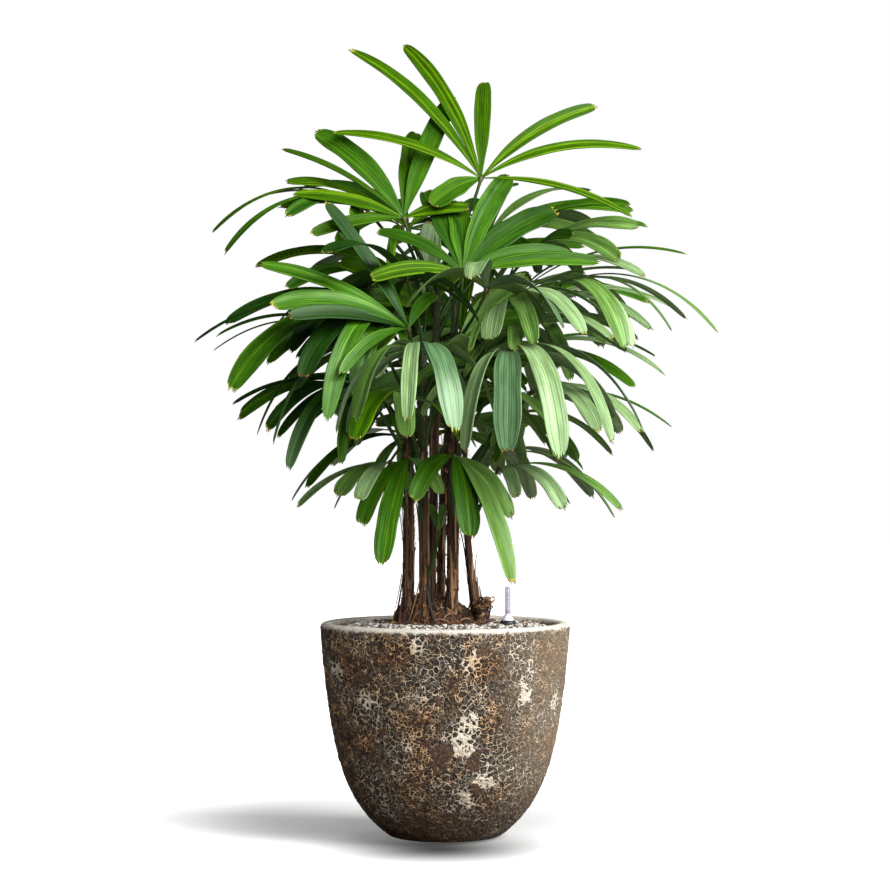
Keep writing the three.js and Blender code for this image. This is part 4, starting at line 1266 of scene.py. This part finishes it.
def leafletPlans(frond, index):
    sizes = {**usual, **frond}
    fan = frond.get("fan")
    count = len(fan) if fan else sizes["leaflets"]
    plans = []
    for i in range(count):
        vary = [draw(index, i, key) - 0.5 for key in range(7)]
        side = (i / (count - 1) - 0.5) * 2
        turn, length, bend, broad = (*fan[i], None, None)[:4] if fan else (None,) * 4
        angle = side * sizes["spread"] / 2 + vary[1] * unlike["turn"] if turn is None else turn
        across = min(1, max(-1, angle / outer["turn"] if fan else side))
        shorter = 1 - outer["shorter"] * across ** 2
        narrower = 1 - outer["narrower"] * abs(across) ** outer["power"]
        plans.append({
            "angle": angle,
            "cup": sizes["cup"] + vary[2] * unlike["cup"],
            "length": length or sizes["reach"] * shorter * (1 + vary[3] * unlike["length"]),
            "width": broad or sizes["width"] * narrower * (1 + vary[4] * unlike["width"]),
            "droop": bend or sizes["droop"] * (1 + vary[5] * unlike["droop"]),
            "twist": sizes["twist"] + vary[6] * unlike["twist"],
        })
    return plans


def widthShare(along):
    opened = np.sin(np.minimum(1, along / blade["opens"]) * math.pi / 2) ** blade["opening"]
    closing = np.maximum(0, (along - blade["tapers"]) / (1 - blade["tapers"])) ** 2
    return (blade["foot"] + (1 - blade["foot"]) * opened) * (1 - (1 - blade["tip"]) * closing)


# places, headings and facings along a leaflet that bends over towards the ground
def leafletSpine(frond, plan, change):
    turn, bend, keep = change
    middle, left, face = bladeFrame(frond)
    angle, cup = math.radians(plan["angle"] + turn), math.radians(plan["cup"])
    outward = middle * math.cos(angle) + left * math.sin(angle)
    start = outward * math.cos(cup) + face * math.sin(cup)
    normal = face * math.cos(cup) - outward * math.sin(cup)
    axis = unit(np.array([-start[1], start[0], 0]))
    room = math.acos(min(1, max(-1, -start[2])))
    droop = math.radians(max(blade["leastDroop"], plan["droop"] + bend))
    stride = plan["length"] * keep / blade["steps"]
    place = np.array(frond["at"], float)
    places, headings, facings = [], [], []
    for step in range(blade["steps"] + 1):
        along = step / blade["steps"]
        bent = room * (1 - math.exp(-droop * along ** blade["bending"] / room))
        heading = turned(start, axis, bent)
        facing = turned(turned(normal, axis, bent), heading, math.radians(plan["twist"]) * along)
        if step:
            place = place + heading * stride
        places.append(place)
        headings.append(heading)
        facings.append(facing)
    return np.array(places), np.array(headings), np.array(facings)


def stalkPath(frond, cane, change, count):
    lower, swing = change
    hub, tip = np.array(frond["at"], float), np.array(cane["tip"], float)
    away = math.hypot(hub[0] - tip[0], hub[1] - tip[1])
    footZ = min(tip[2] - stalk["tipRoom"], hub[2] - stalk["drop"] - stalk["slant"] * away) - lower
    height = max(stalk["lowest"], footZ - ground)
    foot = caneCentre(cane, height / (tip[2] - ground))
    outward = unit(np.array([hub[0] - foot[0], hub[1] - foot[1], 0]))
    reach = np.linalg.norm(hub - foot) / 3
    aside = np.array([-outward[1], outward[0], 0])
    along = unit(unit(hub - foot) + bladeFrame(frond)[0] * stalk["forward"] + upwards * stalk["lift"])
    low = foot + upwards * reach * stalk["rising"] + outward * reach * stalk["leaving"] + aside * swing
    high = hub - along * reach + aside * swing
    t = np.linspace(0, 1, count)[:, None]
    place = foot * (1 - t) ** 3 + low * 3 * t * (1 - t) ** 2 + high * 3 * t ** 2 * (1 - t) + hub * t ** 3
    slope = (low - foot) * (1 - t) ** 2 + (high - low) * 2 * t * (1 - t) + (hub - high) * t ** 2
    return place, slope / np.linalg.norm(slope, axis=1)[:, None]


def ringRound(centre, direction, radius, sides):
    first = unit(np.cross(np.array([0, 1.0, 0]), direction))
    second = unit(np.cross(direction, first))
    angle = np.arange(sides) / sides * 2 * math.pi
    return centre + radius * (np.cos(angle)[:, None] * first + np.sin(angle)[:, None] * second)


def treeOf(points):
    tree = kdtree.KDTree(len(points))
    for i, point in enumerate(points):
        tree.insert(point, i)
    tree.balance()
    return tree


# which of the tries the plant grew with: its corners are in the frond's own solid
def grownAs(tree, corners):
    return all(tree.find(tuple(corner * millimetre))[2] < found["within"] * millimetre for corner in corners)


def findStalk(frond, tree):
    radius = (stalk["base"] + stalk["neck"]) / 2
    for change in stalkTries:
        for cane in canes:
            places, slopes = stalkPath(frond, cane, change, found["rings"])
            middle = found["rings"] // 2
            if grownAs(tree, ringRound(places[middle], slopes[middle], radius, found["sides"])):
                return cane, change
    return None


def findLeaflet(frond, plan, tree):
    half = plan["width"] * float(widthShare(1.0)) / 2
    for change in leafTries:
        places, headings, facings = leafletSpine(frond, plan, change)
        left = np.cross(facings[-1], headings[-1])
        if grownAs(tree, [places[-1] + left * half, places[-1] - left * half]):
            return places, headings, facings
    return None


leafCraft = {
    "rows": 28,
    "crowding": 1.5,  # rows lie closer towards the tip
    "thickness": 0.7,
    "pleat": 4.1,  # width of one pleat where the leaflet is widest
    "pleatDepth": 0.2,  # of a pleat's width
    "pleatUneven": 0.16,  # how far a fold may stray, of a pleat's width
    "arch": (0.4, 1.6),  # how high a pleat stands, of its depth
    "keel": 0.07,  # how far the middle lies below the edges, of the width
    "wave": (0.03, 19),  # how much the width swells, and how often
    "toothPleats": 2.0,  # pleats in one tooth of the torn tip
    "toothLength": 7,
    "roundTip": 3,
    "wholeTip": 150,  # a leaflet shorter than this has a smaller tip
    "tipFrom": 0.9,  # where the tip's rows start to be drawn back
    "pleatShares": (0.5, 0.3, 0.2),  # plain, darker and lighter pleats
    "yellowFrom": (0.95, 0.04, 0.012),  # at the earliest, by leaflet, by pleat
    "brownFrom": (0.975, 0.03, 0.006),
    "sheen": (0.8, 1, 0.7, 1),  # a leaf's wax mirrors the light slightly green
}
stemCraft = {
    "sides": 8,
    "rows": 22,
    "foot": (2.2, 14),  # how much thicker the stem's foot is, and how soon that ends
    "swelling": (2.4, 0.93),  # under the blade
    "tip": (3, 2.0),  # how far the stem runs into the hub, and its radius there
    "hubRows": 3,
}
# the greens of a leaflet: plain, its darker pleats, its lighter pleats and its underside
# the yellow-green of young leaves also paints light shining through them; the pale greens paint a sheen, the
# light greens paint sunlight and the deep greens paint shade
leafTones = {
    "bright": ("#386000", "#305400", "#587e06", "#4a6a14"),
    "fresh": ("#366408", "#2f5a05", "#46720c", "#50762a"),
    "middle": ("#295207", "#234905", "#335d0c", "#466b28"),
    "deep": ("#183a08", "#143204", "#1f450b", "#355622"),
    "light": ("#5e8438", "#567a31", "#6a9044", "#708c4e"),
    "pale": ("#7c9a64", "#74925c", "#88a670", "#82986a"),
    "cool": ("#4d6f47", "#466640", "#597b53", "#6a7f5e"),
}
# roughness and specular level of the skins: high leaves are dull, hanging ones have a sheen
shine = {
    "light": (0.4, 0.6), "pale": (0.4, 0.75), "cool": (0.38, 0.65), "bright": (0.5, 0.15),
    "fresh": (0.44, 0.28), "middle": (0.42, 0.34), "deep": (0.44, 0.22),
    "underside": (0.6, 0.3), "edge": (0.7, 0.3), "stem": (0.45, 0.4),
}
leafSkin = {
    "veins": (3.2, 1 / 60, 1),  # a quarter of a pleat wide and some centimetres long, a little coarser than real
    "flecks": (0.3, 1 / 55, 1),  # a few pleats wide and as long as a finger
    "fold": (0.03, 0.24),  # from the fold between two pleats to full colour, in pleats
    "foldShade": 0.5,
    "veinShade": (0.3, 0.7, 0.74, 1.2),
    "fleckShade": (0.3, 0.7, 0.78, 1.2),
}


# living leaf: a waxy, ribbed skin with a soft shine, darker in the fold between two pleats, partly vein colour
# and partly painted shade
def leafMaterial(name, color, roughness, specular):
    material, tree, shader = newMaterial(name, color, roughness, **{
        "IOR": 1.45, "Specular IOR Level": specular, "Specular Tint": leafCraft["sheen"]})
    uv = addNode(tree, "ShaderNodeUVMap", uv_map="alongBlade").outputs["UV"]
    veins, flecks = [
        addNode(tree, "ShaderNodeTexNoise", {
            "Vector": vectorMaths(tree, "MULTIPLY", uv, leafSkin[lines]), "Scale": 1, "Detail": 2}).outputs["Fac"]
        for lines in ("veins", "flecks")]
    # painted shade and vein colour darken the fold between two pleats
    fold = spread(tree, maths(tree, "PINGPONG", axisOf(tree, uv, "X"), 0.5), *leafSkin["fold"])
    shade = maths(tree, "MULTIPLY", spread(tree, fold, 0, 1, leafSkin["foldShade"], 1.0),
                  spread(tree, veins, *leafSkin["veinShade"]))
    shade = maths(tree, "MULTIPLY", shade, spread(tree, flecks, *leafSkin["fleckShade"]))
    tree.links.new(vectorMaths(tree, "SCALE", toLinear(color)[:3], shade), shader.inputs["Base Color"])
    addBump(tree, shader, veins, 0.35, 0.3 * millimetre)
    return material


# by the kind of a face: 0 to 3 are a leaflet's greens, and these come after them
leafFinishes = {
    tone: [leafMaterial(tone + part, color, *shine["underside" if part == "LeafUnderside" else tone])
           for part, color in zip(("Leaf", "LeafDarkPleat", "LeafLightPleat", "LeafUnderside"), colors)]
    for tone, colors in leafTones.items()}
underKind, yellowKind, brownKind, stemKind, hubKind = 3, 4, 5, 6, 7
otherFinishes = {
    yellowKind: leafMaterial("yellowingLeafTip", "#a09a30", *shine["edge"]),
    brownKind: leafMaterial("scorchedLeafTip", "#83563a", *shine["edge"]),
    stemKind: leafMaterial("stemSkin", "#2b4716", *shine["stem"]),
    hubKind: leafMaterial("hubSkin", "#4c4a22", *shine["stem"]),
}

# which tones a frond's leaflets are dealt, by the frond's number; the rest go by side and height
# dealt by place, the greens paint light and shade: a painted sheen on the hanging fronds, painted light on the
# right, the crest, the heart and the low fronds, and painted shade on the left
frondTones = {
    "crest": ("bright", "fresh", "bright"),
    "high": ("fresh", "bright", "middle", "fresh"),
    "paintedSunlit": ("light", "pale", "light", "fresh"),
    "body": ("middle", "fresh", "fresh"),
    "left": ("middle", "deep", "fresh", "deep"),
    "right": ("light", "pale", "light", "pale"),
    "hanging": ("pale", "light", "cool", "pale"),
    "heart": ("fresh", "light", "bright", "light"),
    "low": ("light", "fresh", "light", "pale"),
}
frondPlaces = {
    "crest": (1, 2), "high": (3, 4), "paintedSunlit": (18, 20), "left": (8, 9, 10, 11, 12, 21),
    "right": (13, 14, 16, 17, 23, 28), "hanging": (5, 6, 15), "heart": (22, 24, 30, 31), "low": (7, 25, 26, 27),
}
sunnySide = 50  # fronds that hang further to the right are dealt paler greens: painted sunlight
toneHeights = (900, 700)


def tonesOf(number, frond):
    for place, numbers in frondPlaces.items():
        if number in numbers:
            return frondTones[place]
    side, depth, height = frond["at"]
    high, body = toneHeights
    if side > sunnySide:
        return frondTones["paintedSunlit"]
    return frondTones["high" if height > high else "body" if height > body else "low"]


# centre line, heading and facing at each row, on a smooth curve through the spine's places
def smoothSpine(spine, t):
    places, headings, facings = spine
    at = t * blade["steps"]
    low = np.minimum(at.astype(int), blade["steps"] - 1)
    part = (at - low)[:, None]
    step = np.linalg.norm(places[1] - places[0])
    a, b, da, db = places[low], places[low + 1], headings[low] * step, headings[low + 1] * step
    centre = ((2 * part ** 3 - 3 * part ** 2 + 1) * a + (part ** 3 - 2 * part ** 2 + part) * da
              + (3 * part ** 2 - 2 * part ** 3) * b + (part ** 3 - part ** 2) * db)
    heading = headings[low] * (1 - part) + headings[low + 1] * part
    facing = facings[low] * (1 - part) + facings[low + 1] * part
    left = np.cross(facing, heading)
    left /= np.linalg.norm(left, axis=1)[:, None]
    facing /= np.linalg.norm(facing, axis=1)[:, None]
    return centre, heading, facing, left


# one leaflet as a closed pleated strap with a torn tip: points, faces, kind of each face and uv
def leafletShell(spine, plan, seed):
    craft, rows = leafCraft, leafCraft["rows"]
    chance = np.random.default_rng(int(seed * 1000) + 7)
    t = 1 - (1 - np.linspace(0, 1, rows + 1)) ** craft["crowding"]
    centre, heading, facing, left = smoothSpine(spine, t)
    pleats = max(2, round(plan["width"] / craft["pleat"]))
    folds = np.arange(pleats + 1.0)
    folds[1:-1] += (chance.random(pleats - 1) - 0.5) * 2 * craft["pleatUneven"]
    across = np.sort(np.concatenate([folds, (folds[1:] + folds[:-1]) / 2])) / pleats
    side = 1 - 2 * across
    columns = len(across)
    arch = np.zeros(columns)
    arch[1::2] = between(craft["arch"], chance.random(pleats))
    swell, often = craft["wave"]
    width = plan["width"] * widthShare(t) * (1 + swell * np.sin(t * often + seed))
    depth = (craft["pleatDepth"] * width / pleats)[:, None]
    keel = (craft["keel"] * width)[:, None]
    rise = arch * depth - keel * (1 - np.abs(side)) - depth * 0.5
    # the tip is torn into a few uneven teeth and rounded off at the sides
    teeth = max(2, round(pleats / craft["toothPleats"]))
    inTooth = across * teeth % 1.0
    lengths = chance.random(teeth + 1)[np.minimum((across * teeth).astype(int), teeth)]
    cut = craft["toothLength"] * (lengths + np.abs(inTooth - 0.5) * 2) + craft["roundTip"] * side ** 2
    cut = cut * min(1, plan["length"] / craft["wholeTip"])
    back = np.clip((t - craft["tipFrom"]) / (1 - craft["tipFrom"]), 0, 1)[:, None] ** 3 * cut
    top = (centre[:, None] + left[:, None] * (side[:, None] * width[:, None, None] / 2)
           + facing[:, None] * rise[:, :, None] - heading[:, None] * back[:, :, None])
    under = top - facing[:, None] * craft["thickness"]
    total = (rows + 1) * columns
    grid = np.arange(total).reshape(rows + 1, columns)
    topFaces = np.stack([grid[:-1, :-1], grid[1:, :-1], grid[1:, 1:], grid[:-1, 1:]], 2).reshape(-1, 4)
    rims = np.concatenate([
        np.stack([edge[:-1], edge[1:], edge[1:] + total, edge[:-1] + total], 1)
        for edge in (grid[::-1, 0], grid[:, -1], grid[0, :], grid[-1, ::-1])])
    # a pleat keeps one shade all along
    shades = chance.choice(3, pleats, p=craft["pleatShares"])
    pleatOf = np.repeat(np.arange(pleats), 2)
    kinds = np.broadcast_to(shades[pleatOf], (rows, columns - 1))
    for kind, (earliest, leaf, pleat) in (
        (yellowKind, craft["yellowFrom"]), (brownKind, craft["brownFrom"]),
    ):
        start = earliest + leaf * chance.random() + pleat * chance.random(pleats)
        kinds = np.where(t[:-1, None] > start[pleatOf], kind, kinds)
    kinds = kinds.ravel()
    faces = np.concatenate([topFaces, topFaces[:, ::-1] + total, rims])
    kinds = np.concatenate([kinds, np.where(kinds > underKind, kinds, underKind), np.full(len(rims), 1)])
    uv = np.stack(np.broadcast_arrays(across * pleats, t[:, None] * plan["length"]), 2).reshape(-1, 2)
    return np.concatenate([top.reshape(-1, 3), under.reshape(-1, 3)]), faces, kinds, np.concatenate([uv, uv])


def stemShell(frond, cane, change):
    rows, sides = stemCraft["rows"], stemCraft["sides"]
    places, slopes = stalkPath(frond, cane, change, rows)
    t = np.linspace(0, 1, rows)
    thicker, ending = stemCraft["foot"]
    swelling, start = stemCraft["swelling"]
    radius = between((stalk["base"], stalk["neck"]), t) + thicker * np.exp(-t * ending)
    radius = radius + swelling * np.clip((t - start) / (1 - start), 0, 1) ** 2
    rings = [ringRound(*ring, sides) for ring in zip(places, slopes, radius)]
    run, tipRadius = stemCraft["tip"]
    points = np.concatenate([*rings, ringRound(places[-1] + slopes[-1] * run, slopes[-1], tipRadius, sides)])
    faces = np.array(tubeFaces(rows + 1, sides))
    kinds = np.where(faces.min(1) // sides >= rows - stemCraft["hubRows"], hubKind, stemKind)
    caps = []
    for base, order in ((0, (0, 3, 2, 1)), (rows * sides, (0, 1, 2, 3))):
        for i in range(1, sides - 2, 2):
            corners = (0, i, i + 1, i + 2)
            caps.append([base + corners[j] for j in order])
    faces = np.concatenate([faces, caps])
    kinds = np.concatenate([kinds, np.full(len(caps), hubKind)])
    uv = np.stack([np.tile(np.arange(sides) * 2.0, rows + 1), np.repeat(np.arange(rows + 1) * 10.0, sides)], 1)
    return points, faces, kinds, uv


# shells of one frond as one mesh, with only the finishes that it uses
def joinShells(name, shells):
    used, tones, offset = [], [], 0
    allFaces = []
    for points, faces, kinds, uv, tone in shells:
        finishes = dict(enumerate(leafFinishes[tone])) if tone else {}
        finishes.update(otherFinishes)
        numbers = np.zeros(len(kinds), int)
        for kind in np.unique(kinds):
            if finishes[kind] not in used:
                used.append(finishes[kind])
            numbers[kinds == kind] = used.index(finishes[kind])
        tones.append(numbers)
        allFaces.append(faces + offset)
        offset += len(points)
    return joinedMesh(
        name, np.concatenate([shell[0] for shell in shells]) * millimetre, np.concatenate(allFaces),
        np.concatenate(tones), used, uv=np.concatenate([shell[3] for shell in shells]))


takenPoints = []


def finishFrond(name, shells, *nodes):
    takenPoints.extend(shell[0][::3] for shell in shells)
    finishPiece(joinShells(name, shells), name, "leaf", *nodes)


def dealtShell(spine, plan, index, i, tones):
    tone = tones[int(draw(index, i, 11) * len(tones))]
    return *leafletShell(spine, plan, draw(index, i, 12) * 10), tone


def growFrond(index, frond):
    node = "frond_%02d" % (index + 1)
    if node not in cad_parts:
        return 0
    tree = treeOf([vertex.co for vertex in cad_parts[node].data.vertices])
    shells = []
    grown = findStalk(frond, tree)
    if grown:
        shells.append((*stemShell(frond, *grown), None))
    else:
        print("no stem found for", node)
    leaflets = 0
    for i, plan in enumerate(leafletPlans(frond, index)):
        spine = findLeaflet(frond, plan, tree)
        if spine:
            leaflets += 1
            shells.append(dealtShell(spine, plan, index, i, tonesOf(index + 1, frond)))
    finishFrond("frond%02d" % (index + 1), shells, node)
    return leaflets


frondLeaflets = [growFrond(index, frond) for index, frond in enumerate(fronds)]
print("fronds ready:", sum(frondLeaflets), "leaflets")


# small fans deep in the crown, that fill it up between the larger ones
heart = {
    "room": 3,  # to every other leaf
    "bareRings": 3,  # rings at a stem's foot that may come near the canes
    "bareSteps": 5,  # steps at a leaflet's foot that may come near the other stems
    "across": (-1, -0.5, 0, 0.5, 1),  # where a leaflet's room is measured, of its half width
    "fans": [
        {"at": (-30, 30, 850), "yaw": 105, "rise": 62, "leaflets": 7, "reach": 170, "droop": 40, "width": 42},
        {"at": (26, 60, 820), "yaw": 80, "rise": 62, "leaflets": 7, "reach": 165, "droop": 40, "width": 42},
        {"at": (-58, 40, 800), "yaw": 120, "rise": 55, "leaflets": 7, "reach": 160, "droop": 50, "width": 40},
        {"at": (48, 20, 770), "yaw": 70, "rise": 55, "leaflets": 7, "reach": 160, "droop": 50, "width": 40},
        {"at": (-6, 50, 740), "yaw": 95, "rise": 60, "leaflets": 7, "reach": 170, "droop": 45, "width": 42},
        {"at": (-20, -20, 700), "yaw": -100, "rise": 55, "leaflets": 6, "reach": 130, "droop": 90, "width": 36},
        {"at": (10, 40, 655), "yaw": 85, "rise": 55, "leaflets": 6, "reach": 140, "droop": 60, "width": 38},
    ],
}


def growHeart(number, frond):
    tree = treeOf(np.concatenate(takenPoints))

    def isClear(samples):
        return all(tree.find(sample)[2] > heart["room"] for sample in samples)

    ways = [(cane, change) for change in stalkTries for cane in canes]
    stems = (way for way in ways
             if isClear(stalkPath(frond, *way, stemCraft["rows"])[0][heart["bareRings"]:]))
    way = next(stems, None)
    if not way:
        return 0
    shells = [(*stemShell(frond, *way), None)]
    width = widthShare(np.linspace(0, 1, blade["steps"] + 1))[:, None] / 2
    for i, plan in enumerate(leafletPlans(frond, number)):
        for change in leafTries:
            spine = leafletSpine(frond, plan, change)
            side = np.cross(spine[2], spine[1]) * width * plan["width"]
            samples = [(spine[0] + side * share)[heart["bareSteps"]:] for share in heart["across"]]
            if isClear(np.concatenate(samples)):
                shells.append(dealtShell(spine, plan, number, i, frondTones["heart"]))
                break
    finishFrond("heartFan%d" % (number - len(fronds) + 1), shells)
    return len(shells) - 1


heartLeaflets = [growHeart(number, frond) for number, frond in enumerate(heart["fans"], len(fronds))]
print("heart of the crown ready:", heartLeaflets, "leaflets")
